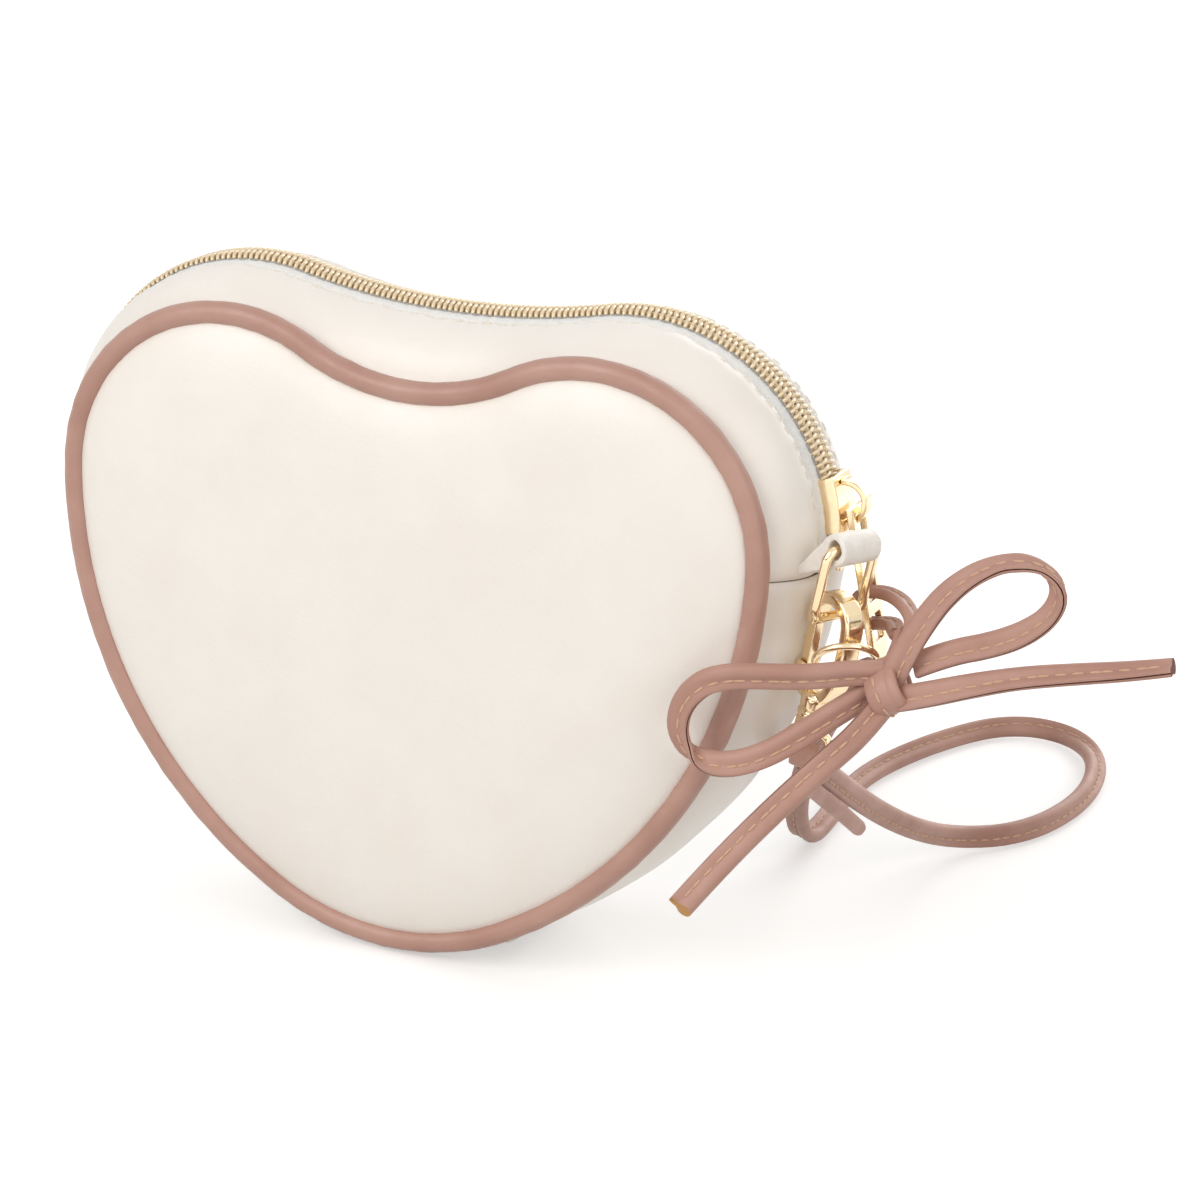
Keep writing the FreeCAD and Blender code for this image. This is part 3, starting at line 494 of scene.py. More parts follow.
def strap_piece(name, route, hints, section=STRAP_SECTION, profile=EVEN, slant=None):
    """A folded strap. Profile scales it along the way, and slant cuts its far end towards a side."""
    points, length = smooth_line(route)
    ahead, edge, face = frames_along(points, hints)
    scale = np.interp(np.linspace(0, 1, len(points)), [p[0] for p in profile], [p[1] for p in profile])
    ring = np.vstack([section, section[:1]]) * MM
    across = (edge[:, None, :] * (ring[None, :, :1] * scale[:, None, None])
              + face[:, None, :] * (ring[None, :, 1:] * scale[:, None, None]))
    if slant is not None:
        for row, share in SLANT_SHARES:
            near = across[row] @ unit(np.array(slant))
            across[row] -= ahead[row] * near[:, None] * share * SLANT_SLOPE
    piece = laid_grid(name, points[:, None, :] + across)
    columns = len(ring) - 1
    # Slit faces take the second finish; on the strap and the bow that is painted shade.
    for side in piece.data.polygons:
        side.material_index = SLIT_INDEX if side.index % columns in SLIT_COLUMNS else BODY_INDEX
    body_faces = len(piece.data.polygons)
    weld(piece, FINE_GAP, close=True)
    for side in piece.data.polygons:
        if side.index >= body_faces:
            side.material_index = END_INDEX
    smooth(piece, 55)
    return piece, points, (ahead, edge, face), length


print("slit in columns", SLIT_COLUMNS)

# %% Stitches along a strap
STITCH_STEP = 2.7
STITCH_MARGIN = 2
STITCH_LIFT = 0.72 * MM


def strap_stitches(name, points, axes, size=1.0):
    """Stitches on both faces along the seam line, a step of so many points apart."""
    ahead, edge, face = axes
    places = []
    spot = STITCH_MARGIN
    while spot < len(points) - 1 - STITCH_MARGIN:
        i = int(spot)
        run, across, up = Vector(ahead[i]) * size, Vector(edge[i]) * size, Vector(face[i]) * size
        seam = points[i] + edge[i] * SEAM_LINE * SECTION_SCALE * MM
        for side in (1, -1):
            places.append(axes_at(Vector(seam + face[i] * side * STITCH_LIFT * size), run, across, up))
        spot += STITCH_STEP
    return copies(name, stitch_seed, places)


print("a stitch each", STITCH_STEP, "points")

# %% [markdown]
# ## The wrist strap
# It leaves the clasp's eye straight back and down, lies on the floor in one loop, comes forward again and
# climbs to the round ring. Its first stretch has a second layer sewn under it, the strap's turned-back tail.

# %% Wrist strap
STRAP_ROUTE = [
    (76.1, -7.8, 49.6), (75.9, 6.3, 41.6), (75.7, 20.7, 33.4), (75.9, 35.0, 25.4), (76.6, 49.3, 17.8),
    (77.6, 63.7, 10.8), (79.4, 76.4, 5.4), (83.6, 85.0, 2.8), (89.6, 91.0, 2.5), (95.0, 101.8, 2.5),
    (98.0, 119.0, 2.5), (96.6, 136.0, 2.5), (92.2, 148.4, 2.5), (85.4, 155.8, 2.5), (77.0, 157.8, 2.5),
    (69.2, 153.6, 2.5), (63.0, 143.6, 2.5), (56.8, 128.2, 2.5), (52.4, 110.6, 2.5), (52.0, 94.4, 2.5),
    (53.2, 80.0, 2.5), (53.8, 68.8, 2.8), (54.2, 60.0, 6.4), (56.0, 50.0, 15.4), (60.2, 39.4, 25.6),
    (65.2, 28.2, 35.8), (70.0, 18.2, 44.6), (74.8, 9.0, 52.4), (79.4, 0.8, 59.6), (83.4, -5.2, 65.2),
    (86.1, -9.8, 69.2)]
STRAP_HINTS = [(0.0, (-0.42, -0.45, -0.79)), (0.2, (-0.42, -0.45, -0.79)), (0.3, (0.3, -0.2, -0.85)),
               (0.36, (0.58, -0.06, -0.82)), (0.42, (0.94, 0.35, -0.08)), (0.48, (-0.03, 0.32, 0.95)),
               (0.57, (-0.41, 0.15, 0.9)), (0.66, (-0.69, 0, 0.73)), (0.76, (-0.92, -0.35, 0.07)),
               (1.0, (-0.92, -0.35, 0.07))]
STRAP_PROFILE = ((0, 1), (0.95, 1), (0.98, 0.8), (1, 0.8))
strap, strap_points, strap_axes, strap_length = strap_piece("wrist_strap_leather", STRAP_ROUTE, STRAP_HINTS,
                                                            profile=STRAP_PROFILE)
settle(strap, "strap", [RIBBON, SLIT_SHADE, RIBBON], ["wrist_strap"])
strap_sewing = strap_stitches("wrist_strap_stitches", strap_points, strap_axes)
settle(strap_sewing, "strap", [THREAD])
print("strap", round(strap_length, 4), "m")

# %% The strap's sewn-back tail
TAIL_ROUTE = [(76.1, -9.6, 46.1), (76.0, -1.4, 41.2), (75.8, 6.8, 36.4), (75.7, 15.2, 31.5),
              (75.7, 23.8, 26.3), (75.8, 31.6, 21.4)]
TAIL_HINTS = [(0.0, (-0.42, -0.45, -0.79)), (1.0, (-0.42, -0.45, -0.79))]
TAIL_HALF_WIDTH, TAIL_HALF_THICKNESS = 1.55, 0.95
TAIL_SECTION = np.array([(TAIL_HALF_WIDTH * math.copysign(abs(math.cos(a)) ** 0.7, math.cos(a)),
                          TAIL_HALF_THICKNESS * math.sin(a))
                         for a in np.linspace(0, 2 * math.pi, 20, endpoint=False)])
ROUNDED_TIP = ((0.0, 1.0), (0.92, 1.0), (0.95, 0.95), (0.98, 0.7), (1.0, 0.3))
tail, tail_points, _, tail_length = strap_piece("strap_tail_leather", TAIL_ROUTE, TAIL_HINTS,
                                                TAIL_SECTION, ROUNDED_TIP)
settle(tail, "strap", [RIBBON, RIBBON, RIBBON], ["strap_tail"])
print("tail", round(tail_length, 4), "m")

# %% [markdown]
# ## The bow
# Two loops and two tails leave one knot, and the knot hangs by a short ribbon from the zip pull. All of
# them are the folded strap again, so they only need their own routes and their own hints.

# %% Routes of loops, tails and hanger
BOW_ROUTES = {
    "bow_left_loop": (
        [(93.1, -17.8, 72.0), (88.2, -20.8, 72.2), (81.6, -24.4, 71.2), (74.2, -27.0, 70.7),
         (67.3, -28.2, 70.0), (62.2, -28.6, 67.5), (59.2, -28.8, 62.9), (59.0, -28.8, 57.9),
         (62.0, -28.6, 54.1), (67.7, -28.2, 53.2), (74.5, -26.9, 55.9), (81.1, -24.4, 60.9),
         (87.0, -20.8, 65.8), (91.4, -17.8, 69.0)],
        [(0.0, (0.1, 0.25, -0.95)), (0.32, (0.2, 0.1, -0.95)), (0.46, (0.9, -0.4, -0.3)),
         (0.56, (0.8, -0.5, -0.2)), (0.68, (0.4, -0.3, -0.85)), (1.0, (0.35, 0.1, -0.9))], "object"),
    "bow_right_loop": (
        [(93.8, -18.8, 71.0), (95.8, -18.6, 76.6), (98.6, -18.6, 82.4), (102.2, -18.6, 88.2),
         (107.0, -18.6, 92.8), (113.0, -18.6, 95.8), (118.6, -18.4, 95.8), (122.0, -18.2, 92.4),
         (120.8, -17.8, 87.6), (116.2, -17.4, 83.2), (110.0, -16.8, 79.8), (103.2, -16.2, 77.2),
         (97.0, -16.2, 73.6)],
        [(0.0, (0.84, 0.16, -0.49)), (0.25, (0.6, -0.5, -0.5)), (0.42, (0.4, -0.9, -0.1)),
         (0.6, (0.6, -0.75, -0.2)), (0.75, (0.35, -0.55, -0.75)), (1.0, (0.1, -0.4, -0.9))], "object"),
    "bow_right_tail": (
        [(95.0, -19.2, 68.0), (100.6, -20.2, 70.2), (108.0, -20.4, 73.2), (116.6, -20.2, 76.2),
         (126.6, -19.8, 78.6), (135.6, -19.4, 80.6), (142.2, -19.0, 82.4)],
        [(0.0, (0.2, -0.4, -0.9)), (0.45, (0.1, -0.85, -0.5)), (1.0, (0.1, -0.95, -0.1))], "bare"),
    "bow_front_tail": (
        [(92.8, -19.8, 66.2), (90.8, -24.8, 62.4), (87.0, -29.2, 58.2), (82.0, -32.7, 52.4),
         (76.2, -36.0, 45.1), (70.8, -39.2, 37.8), (66.6, -42.2, 31.6)],
        [(0.0, (-0.7, -0.5, 0.5)), (1.0, (-0.9, -0.2, 0.4))], "bare"),
    "bow_hanger": (
        [(93.6, -16.0, 71.2), (94.6, -10.8, 77.7), (92.4, -6.0, 80.4), (86.2, -0.4, 81.0),
         (80.1, -0.2, 79.5), (81.5, -0.2, 73.8), (87.6, -0.4, 75.4), (90.2, -5.6, 75.6),
         (92.3, -10.6, 76.3), (91.4, -15.2, 69.4)],
        [(0.0, (-0.2, 0.7, -0.5)), (0.3, (0.1, 1, 0.2)), (0.7, (0.1, 1, 0.2)),
         (1.0, (-0.74, 0.59, -0.3))], "object")}
print("bow of", len(BOW_ROUTES), "ribbons")

# %% [markdown]
# The hanger is slimmer than the rest, because it turns through the pull's opening. The right loop is pinched
# where it bends over, and the front tail's cut end shows raw leather.

# %% Ribbons along the routes
HANGER_SHARE = 0.74
PROFILES = {"bow_hanger": ((0, HANGER_SHARE), (1, HANGER_SHARE)),
            "bow_right_loop": ((0, 1), (0.45, 1), (0.51, 0.76), (0.57, 1), (1, 1))}
CUT_ENDS = {"bow_front_tail": (0.356, -0.882, 0.312)}
for node, (route, hints, far_end) in BOW_ROUTES.items():
    slim = HANGER_SHARE if node == "bow_hanger" else 1.0
    piece, points, axes, length = strap_piece(node + "_leather", route, hints, STRAP_SECTION,
                                              PROFILES.get(node, EVEN), CUT_ENDS.get(node))
    # Ends that hide in the knot take the slit's painted shade, cut ends their raw leather.
    settle(piece, "bow", [RIBBON, SLIT_SHADE, RAW_EDGE if node in CUT_ENDS else SLIT_SHADE], [node])
    sewing = strap_stitches(node + "_stitches", points, axes, slim)
    settle(sewing, "bow", [THREAD])
    print(node, round(length, 4), "m")

# %% [markdown]
# ## The knot
# The knot is one turn of the ribbon pressed flat over the crossing strands, so it shows two layers and a
# row of stitches. A band section spun round the knot's axis is nearly that. It is made uneven on the way:
# the radius grows where strands lie under it, and the band drifts a little sideways as it goes round.

# %% Knot band
KNOT_MIDDLE = Vector((93.1, -17.4, 69.4)) * MM
KNOT_AXIS = Vector((0.80, 0.05, 0.58)).normalized()
BAND_SECTION = [(-3.1, -0.3), (-3.2, 0.3), (-2.9, 0.8), (-2.3, 1.0), (-0.6, 1.05), (0.9, 1.0), (1.15, 0.72),
                (1.4, 0.98), (2.6, 0.9), (3.1, 0.55), (3.2, -0.2), (2.4, -0.75), (0.0, -0.85), (-2.4, -0.75)]
knot_side = KNOT_AXIS.orthogonal().normalized()
knot_other = KNOT_AXIS.cross(knot_side)
BAND_RADIUS = 3.95
BAND_STEPS = 64


def knot_ray(turn):
    return knot_side * math.cos(turn) + knot_other * math.sin(turn)


def knot_point(turn, along, out):
    """A point on the knot: angle round its axis, place along it and height over the band's middle."""
    radius = BAND_RADIUS + 0.35 * math.cos(2 * turn + 0.6) + 0.15 * math.sin(3 * turn)
    drift = 0.45 * math.sin(turn + 0.4)
    return KNOT_MIDDLE + (KNOT_AXIS * (along + drift) + knot_ray(turn) * (radius + out)) * MM


knot_rows = [[knot_point(2 * math.pi * k / BAND_STEPS, a, o) for a, o in BAND_SECTION + BAND_SECTION[:1]]
             for k in range(BAND_STEPS + 1)]
knot_band = laid_grid("bow_knot_band", knot_rows)
weld(knot_band, FINE_GAP)
apply_modifier(knot_band, "SUBSURF", levels=1, render_levels=1)
smooth(knot_band)
settle(knot_band, "bow", [RIBBON], ["bow_knot"])

# %% Stitches on the knot
KNOT_STITCHES = 11
KNOT_SEAM, KNOT_SEAM_LIFT = -0.9, 1.06
knot_places = []
for k in range(KNOT_STITCHES):
    turn = 2 * math.pi * k / KNOT_STITCHES
    spot = knot_point(turn, KNOT_SEAM, KNOT_SEAM_LIFT)
    run = (knot_point(turn + 0.1, KNOT_SEAM, KNOT_SEAM_LIFT) - spot).normalized()
    rise = (spot - knot_point(turn, KNOT_SEAM, 0.0)).normalized()
    knot_places.append(axes_at(spot, run, rise.cross(run), rise))
knot_sewing = copies("bow_knot_stitches", stitch_seed, knot_places)
settle(knot_sewing, "bow", [THREAD])

# %% [markdown]
# Inside the band the strands press together. A rounded plug fills that space so that no light shows
# through the knot: a sphere squashed along the axis and pushed inwards where the strands come out.

# %% Knot core
CORE_RADIUS, CORE_HALF_LENGTH, CORE_FLUTE = 3.2, 3.4, 0.25
bpy.ops.mesh.primitive_uv_sphere_add(segments=32, ring_count=16, radius=1.0)
knot_core = bpy.context.object
knot_core.name = "bow_knot_core"
for spot in knot_core.data.vertices:
    turn = math.atan2(spot.co.y, spot.co.x)
    thick = math.hypot(spot.co.x, spot.co.y) * (CORE_RADIUS + CORE_FLUTE * math.sin(5 * turn))
    spot.co = KNOT_MIDDLE + (KNOT_AXIS * (spot.co.z * CORE_HALF_LENGTH) + knot_ray(turn) * thick) * MM
weld(knot_core, FINE_GAP)
smooth(knot_core)
settle(knot_core, "bow", [RIBBON])

# %% [markdown]
# ## The heart's outline
# The pouch is one outline of tangent arcs, a round tip, two flanks, two lobes and a cleft. Towards the
# middle of the gusset every arc swells a little, most at the mouth. The same arcs as in CAD give the
# pieces below their edges, so everything meets at the piping without fitting.

# %% Arcs of the heart
LOBE_X, LOBE_RADIUS, LOBE_Z = 36.0, 30.0, 85.2
TIP_RADIUS, TIP_Z = 45.5, 50.5
CLEFT_RADIUS, MOUTH_CLEFT_RADIUS = 45.0, 140.0
FOOT_CROWN, MOUTH_CROWN, MOUTH_RISE, MOUTH_SPREAD = 2.4, 4.9, 1.7, 2.2
HALF_DEPTH, WALL_EDGE, CROWN_POWER = 19.2, 16.7, 3.2
SIDE_SEAM_Z, LOWER_SEAM_X = 83.7, 22.0
FACES = (("front", -1), ("back", 1))


def crown_at(y):
    return 1 - min(abs(y) / WALL_EDGE, 1) ** CROWN_POWER


def heart_arcs(grow, crown):
    """Centre x, centre z, radius and the two angles of the right half's arcs, from the tip to the cleft."""
    tip = TIP_RADIUS + FOOT_CROWN * crown
    lobe = LOBE_RADIUS + MOUTH_CROWN * crown
    middle, lobe_x = LOBE_Z + MOUTH_RISE * crown, LOBE_X + MOUTH_SPREAD * crown
    cleft = CLEFT_RADIUS + (MOUTH_CLEFT_RADIUS - CLEFT_RADIUS) * crown
    spare, climb = lobe_x + lobe - tip, middle - TIP_Z
    flank_x = (spare ** 2 - climb ** 2) / (2 * spare)
    flank = lobe_x + lobe - flank_x
    rise = math.sqrt((lobe + cleft) ** 2 - lobe_x ** 2)
    tip_turn, lobe_turn = math.atan2(-climb, -flank_x), math.atan2(rise, -lobe_x)
    return {"tip": (0.0, TIP_Z, tip + grow, -math.pi / 2, tip_turn),
            "flank": (flank_x, middle, flank + grow, tip_turn, 0.0),
            "lobe": (lobe_x, middle, lobe + grow, 0.0, lobe_turn),
            "cleft": (0.0, middle + rise, cleft - grow, lobe_turn - math.pi, -math.pi / 2)}


def arc_points(arc, count, start=None, stop=None):
    x, z, radius, first, last = arc
    turns = np.linspace(first if start is None else start, last if stop is None else stop, count)
    return np.stack([x + radius * np.cos(turns), z + radius * np.sin(turns)], axis=1)


def mirrored(points):
    return (points * np.array([-1.0, 1.0]))[::-1]


def seam_turn(arc):
    return math.asin((SIDE_SEAM_Z - arc[1]) / arc[2])


print("arcs", list(heart_arcs(0, 0)))

# %% Lines along the outline
def outline(part, grow, crown):
    """Points along a part of the heart, anticlockwise from the front."""
    arcs = heart_arcs(grow, crown)
    turn = seam_turn(arcs["flank"])
    tip, flank = arc_points(arcs["tip"], 80), arc_points(arcs["flank"], 60, stop=turn)
    top = np.vstack([arc_points(arcs["flank"], 8, start=turn), arc_points(arcs["lobe"], 110)[1:],
                     arc_points(arcs["cleft"], 40)[1:]])
    if part == "top":
        return np.vstack([top, mirrored(top)[1:]])
    low_turn = -math.acos(min(LOWER_SEAM_X / arcs["tip"][2], 1))
    if part == "lower_left":
        left = np.vstack([tip, flank[1:]])
        return np.vstack([mirrored(left), arc_points(arcs["tip"], 40, stop=low_turn)[1:]])
    if part == "lower_right":
        return np.vstack([arc_points(arcs["tip"], 60, start=low_turn), flank[1:]])
    right = np.vstack([tip, flank[1:], top[1:]])
    return np.vstack([right, mirrored(right)[1:]])


def walk(points, shares):
    """Places, outward normals and runs at shares of the length of a line."""
    run = runs_along(points)
    at = np.asarray(shares) * run[-1]
    places = np.stack([np.interp(at, run, points[:, k]) for k in range(2)], axis=1)
    ahead = unit(np.gradient(points, run, axis=0))
    ahead = unit(np.stack([np.interp(at, run, ahead[:, k]) for k in range(2)], axis=1))
    return places, np.stack([ahead[:, 1], -ahead[:, 0]], axis=1), at


def tube_beside(name, line, y, up, sides, radius_at):
    """A tube along walked places of an outline, at y across the pouch and so far over the line, in mm."""
    rows = []
    for (x, z), (nx, nz), run in zip(*line):
        ring = []
        for a in np.linspace(0, 2 * math.pi, sides + 1):
            radius = radius_at(run, a)
            lift = up + radius * math.cos(a)
            ring.append(((x + nx * lift) * MM, (y + radius * math.sin(a)) * MM, (z + nz * lift) * MM))
        rows.append(ring)
    return laid_grid(name, rows)


print("outline of the face", len(outline("face", 0, 0)), "points")

# %% [markdown]
# ## Padded faces
# Each face is leather over a foam pad, drawn down to the piping all round and nearly flat in the middle.
# It is modelled as rings of the outline, each a little further in and a little higher, closed by a flat
# back, and then given an even mesh, so that a cloth simulation can pump it up like the real padding.

# %% Rings of a padded face
PUFF_LOW, PUFF_HIGH = 1.3, 4.4
PUFF_REACH = 15.0
RING_STEPS = (0.0, 0.3, 0.8, 1.5, 2.5, 3.9, 5.7, 7.9, 10.5, 13.5, 17.0, 20.5, 24.0)
RING_COUNT = 300
BACK_PLANE = 18.0
PAD_VOXEL = 1.1 * MM
TUCK = ((24.0, BACK_PLANE), (-1.4, BACK_PLANE), (-1.8, 18.6), (-1.5, 19.4), (-0.9, 20.0))


def puff_at(depth):
    return PUFF_LOW + (PUFF_HIGH - PUFF_LOW) * (1 - (1 - min(depth / PUFF_REACH, 1)) ** 2.2)


def face_rows(side):
    shares = np.linspace(0, 1, RING_COUNT + 1)
    levels = list(TUCK) + [(d - 0.4, HALF_DEPTH + puff_at(d)) for d in RING_STEPS]
    rows = []
    for depth, y in levels:
        ring = walk(outline("face", -depth, 0.0), shares)[0]
        rows.append([(x * MM, side * y * MM, z * MM) for x, z in ring])
    return rows


def padded_face(word, side):
    piece = laid_grid(word + "_padded_face", face_rows(side))
    weld(piece, FINE_GAP, close=True)
    apply_modifier(piece, "REMESH", mode="VOXEL", voxel_size=PAD_VOXEL)
    apply_modifier(piece, "SMOOTH", factor=0.5, iterations=3)
    return piece


print("rings", len(TUCK) + len(RING_STEPS))

# %% Pump the pads
SWELL_FRAMES = 14
SWELL_LIMIT = 1.6 * MM
HELD_TO, HELD_FADE = 1.8, 1.6
CLOTH_SETTINGS = {"quality": 4, "mass": 0.3, "tension_stiffness": 12, "bending_stiffness": 3,
                  "use_pressure": True, "uniform_pressure_force": 3.0, "vertex_group_mass": "held"}


def swell(piece):
    """Pumps the pad with a short cloth run, with its rim and back held, and caps the movement."""
    start = np.array([spot.co[:] for spot in piece.data.vertices])
    out = np.clip((np.abs(start[:, 1]) / MM - HALF_DEPTH - HELD_TO) / HELD_FADE, 0, 1)
    held = piece.vertex_groups.new(name="held")
    for number, share in enumerate(out):
        held.add([number], float(1 - share), "REPLACE")
    pick_only(piece)
    step = piece.modifiers.new("cloth", "CLOTH")
    for word, value in CLOTH_SETTINGS.items():
        setattr(step.settings, word, value)
    step.settings.effector_weights.gravity = 0
    step.collision_settings.use_collision = False
    for number in range(1, SWELL_FRAMES + 1):
        bpy.context.scene.frame_set(number)
    bpy.ops.object.modifier_apply(modifier=step.name)
    bpy.context.scene.frame_set(1)
    moved = np.array([spot.co[:] for spot in piece.data.vertices]) - start
    far = np.linalg.norm(moved, axis=1, keepdims=True)
    moved *= np.minimum(1, SWELL_LIMIT / np.maximum(far, 1e-9))
    piece.data.vertices.foreach_set("co", (start + moved).reshape(-1))
    piece.data.update()
    print(piece.name, "swelled by up to", round(float(np.max(np.linalg.norm(moved, axis=1))) / MM, 2), "mm")


for word, side in FACES:
    face = padded_face(word, side)
    swell(face)
    apply_modifier(face, "SMOOTH", factor=0.5, iterations=4)
    smooth(face)
    settle(face, "pouch", [PEARL], [word + "_panel", word + "_foam", word + "_lining"])

# %% [markdown]
# ## Piping
# A thin cord wrapped in pink leather is caught in the seam all round each face. It stands proud of the
# face, so it is a full round tube beside the seam line. The wrap is drawn tighter here and there, so its
# radius wanders by a few hundredths.

# %% Two rounds of piping
PIPE_RADIUS = 2.15
PIPE_STAND = 2.45
PIPE_SIDES, PIPE_ROWS = 20, 401
PIPE_PINCH, PINCH_RATE = 0.05, 0.35


def pipe_radius(run, a, side):
    pinch = noise.noise(Vector((run * PINCH_RATE, math.cos(a), math.sin(a) + side * 7)))
    return PIPE_RADIUS * (1 + PIPE_PINCH * pinch)


pipe_line = walk(outline("face", PIPE_STAND, 0.0), np.linspace(0, 1, PIPE_ROWS))
for word, side in FACES:
    pipe = tube_beside(word + "_piping_leather", pipe_line, side * HALF_DEPTH, 0.0, PIPE_SIDES,
                       lambda run, a: pipe_radius(run, a, side))
    weld(pipe, 0.00002)
    smooth(pipe)
    settle(pipe, "pouch", [PIPING], [word + "_piping"])

# %% [markdown]
# ## Gussets
# The wall between the faces is two strips of the same pearl leather, joined by a seam near the foot, and
# sewn to the zip's strips at the sides. The leather is soft, so it swells between the pipings, dips into
# each seam, rolls up beside it, and creases a little. Those dips are added along the outline's normal.

# %% Sheets between the pipings
OUTER_STAND = 3.2
WALL = 1.4
TUCK_SLOPE = 0.7
HEART_MIDDLE_Z = LOBE_Z * 0.7


def fine_ends(length, step=1.3):
    """Shares along a length with closer spacing at both ends, where the seams are."""
    ends = [0.0, 0.25, 0.5, 0.8, 1.2, 1.7, 2.3, 3.0]
    middle = np.linspace(4.0, length - 4.0, max(int((length - 8) / step), 4))
    return np.concatenate([ends, middle, length - np.array(ends[::-1])]) / length


def seam_dip(gap):
    """Height in mm so far from a seam: a groove in it, and a low roll beside it."""
    return -0.75 * math.exp(-(gap / 0.6) ** 2) + 0.22 * math.exp(-((gap - 2.2) / 1.2) ** 2)


def leather_sheet(name, part, stations, relief, stand=OUTER_STAND):
    """A wall along a part of the outline: rows across the pouch, with relief(run, rest, y) in mm."""
    shares = fine_ends(runs_along(outline(part, stand, crown_at(0)))[-1])
    rows = []
    for y in stations:
        tuck = max(abs(y) - WALL_EDGE, 0)
        places, out, at = walk(outline(part, stand - TUCK_SLOPE * tuck, crown_at(y)), shares)
        lift = np.array([relief(run, at[-1] - run, y) for run in at])
        spots = places + out * lift[:, None]
        rows.append([(x * MM, y * MM, max(z, 0.0) * MM) for x, z in spots])
    piece = laid_grid(name, rows)
    face = piece.data.polygons[len(piece.data.polygons) // 2]
    away = face.center - Vector((0, face.center.y, HEART_MIDDLE_Z * MM))
    if face.normal.dot(away) < 0:
        pick_only(piece)
        bpy.ops.object.mode_set(mode="EDIT")
        bpy.ops.mesh.select_all(action="SELECT")
        bpy.ops.mesh.flip_normals()
        bpy.ops.object.mode_set(mode="OBJECT")
    return piece


def thicken(piece):
    """The wall's thickness, with the lining's cloth inside, and rounded edges."""
    piece.data.materials.append(PEARL)
    piece.data.materials.append(LINING)
    apply_modifier(piece, "SOLIDIFY", thickness=WALL * MM, offset=-1, material_offset=1)
    apply_modifier(piece, "SUBSURF", levels=1, render_levels=1)
    smooth(piece)


print("wall", WALL, "mm")

# %% Lower gussets
def gusset_relief(run, rest, y):
    """Ripples 11 mm long, and creases 2.6 mm long that die out away from the seams, in mm."""
    soft = 1 - (abs(y) / WALL_EDGE) ** 2 if abs(y) < WALL_EDGE else 0.0
    ripple = 0.30 * noise.noise(Vector((run / 11.0, y / 16.0, 3.1)))
    crease = 0.32 * noise.noise(Vector((run / 2.6, y / 14.0, 8.4))) * math.exp(-min(run, rest) / 7.0)
    return seam_dip(run) + seam_dip(rest) + soft * (ripple + crease)


HALF_STATIONS = [1.6, 4.6, 7.6, 10.2, 12.4, 14.2, 15.6, 16.7, 17.6, 18.6]
GUSSET_STATIONS = [-y for y in HALF_STATIONS[::-1]] + HALF_STATIONS
GUSSET_NODES = {"lower_left": ["lower_gusset_left", "gusset_lining"], "lower_right": ["lower_gusset_right"]}
for part, nodes in GUSSET_NODES.items():
    gusset = leather_sheet(part + "_gusset_leather", part, GUSSET_STATIONS, gusset_relief)
    thicken(gusset)
    settle(gusset, "pouch", [], nodes)

# %% [markdown]
# ## Strips beside the zip
# Two narrow strips carry the zip from one side seam over both lobes to the other. Each has its edge turned
# under beside the tape and top-stitched, and the stitching draws the edge into small puckers.

# %% Strips
STRIP_EDGE = 6.2
PUCKER_PITCH = 7.4


def strip_relief(run, rest, y):
    """Puckers at the turned edge, that edge's fall to the tape, and soft ripples and creases, in mm."""
    inwards = abs(y) - STRIP_EDGE
    shift = 1.3 * noise.noise(Vector((run / 9, 0, 1)))
    pucker = 0.22 * math.sin(run * 2 * math.pi / PUCKER_PITCH + shift) * math.exp(-max(inwards, 0) / 2.2)
    turned = -0.5 * math.exp(-(inwards / 0.35) ** 2) - 0.6 * math.exp(-(inwards / 2.4) ** 2)
    soft = 1 - (abs(y) / WALL_EDGE) ** 4 if abs(y) < WALL_EDGE else 0.0
    ripple = 0.16 * noise.noise(Vector((run / 13.0, y / 9.0, 5.5))) * soft
    crease = 0.35 * noise.noise(Vector((run / 3.0, y / 9.0, 2.2))) * math.exp(-min(run, rest) / 8.0) * soft
    return seam_dip(run) + seam_dip(rest) + pucker + turned + ripple + crease


STRIP_STATIONS = [6.2, 6.45, 6.8, 7.4, 8.2, 9.2, 10.6, 12.2, 13.8, 15.2, 16.2, 16.9, 17.8, 18.6]
for word, side in FACES:
    stations = [side * y for y in STRIP_STATIONS]
    strip = leather_sheet(word + "_zip_strip_leather", "top", stations, strip_relief)
    thicken(strip)
    settle(strip, "pouch", [], ["zip_strip_" + word, "strip_lining_" + word])

# %% Top stitching of the strips
STITCH_ROW = 7.5
ROW_PITCH, ROW_MARGIN = 2.9, 4.0
ROW_SINK = 0.14
ROW_SCALE = 0.9
row_line = outline("top", OUTER_STAND + 0.05, crown_at(STITCH_ROW))
row_length = runs_along(row_line)[-1]
row = walk(row_line, np.arange(ROW_MARGIN, row_length - ROW_MARGIN, ROW_PITCH) / row_length)
for word, side in FACES:
    spots = []
    for (x, z), (nx, nz), run in zip(*row):
        lift = strip_relief(run, row_length - run, STITCH_ROW) - ROW_SINK
        middle = Vector((x + nx * lift, side * STITCH_ROW, z + nz * lift)) * MM
        along, rise = Vector((-nz, 0, nx)), Vector((nx, 0, nz))
        spots.append(axes_at(middle, along, rise.cross(along), rise) @ Matrix.Scale(ROW_SCALE, 4))
    sewing = copies(word + "_strip_stitches", stitch_seed, spots)
    settle(sewing, "pouch", [PALE_THREAD])

# %% [markdown]
# ## Zip tape and coil
# Under the strips lie two woven tapes, and on them the coil: a wound nylon thread whose turns hook into
# each other in the middle. One turn is modelled as a bent rod with a thick head, and copied down both
# sides of the zip, the second side half a turn later, as in the real one.

# %% Tapes
TAPE_STAND = OUTER_STAND - 1.45
TAPE_THICKNESS = 0.6
TAPE_STATIONS = [0.5, 1.4, 2.6, 3.4, 4.4, 5.0, 5.6, 6.2, 6.8, 8.0, 9.3]


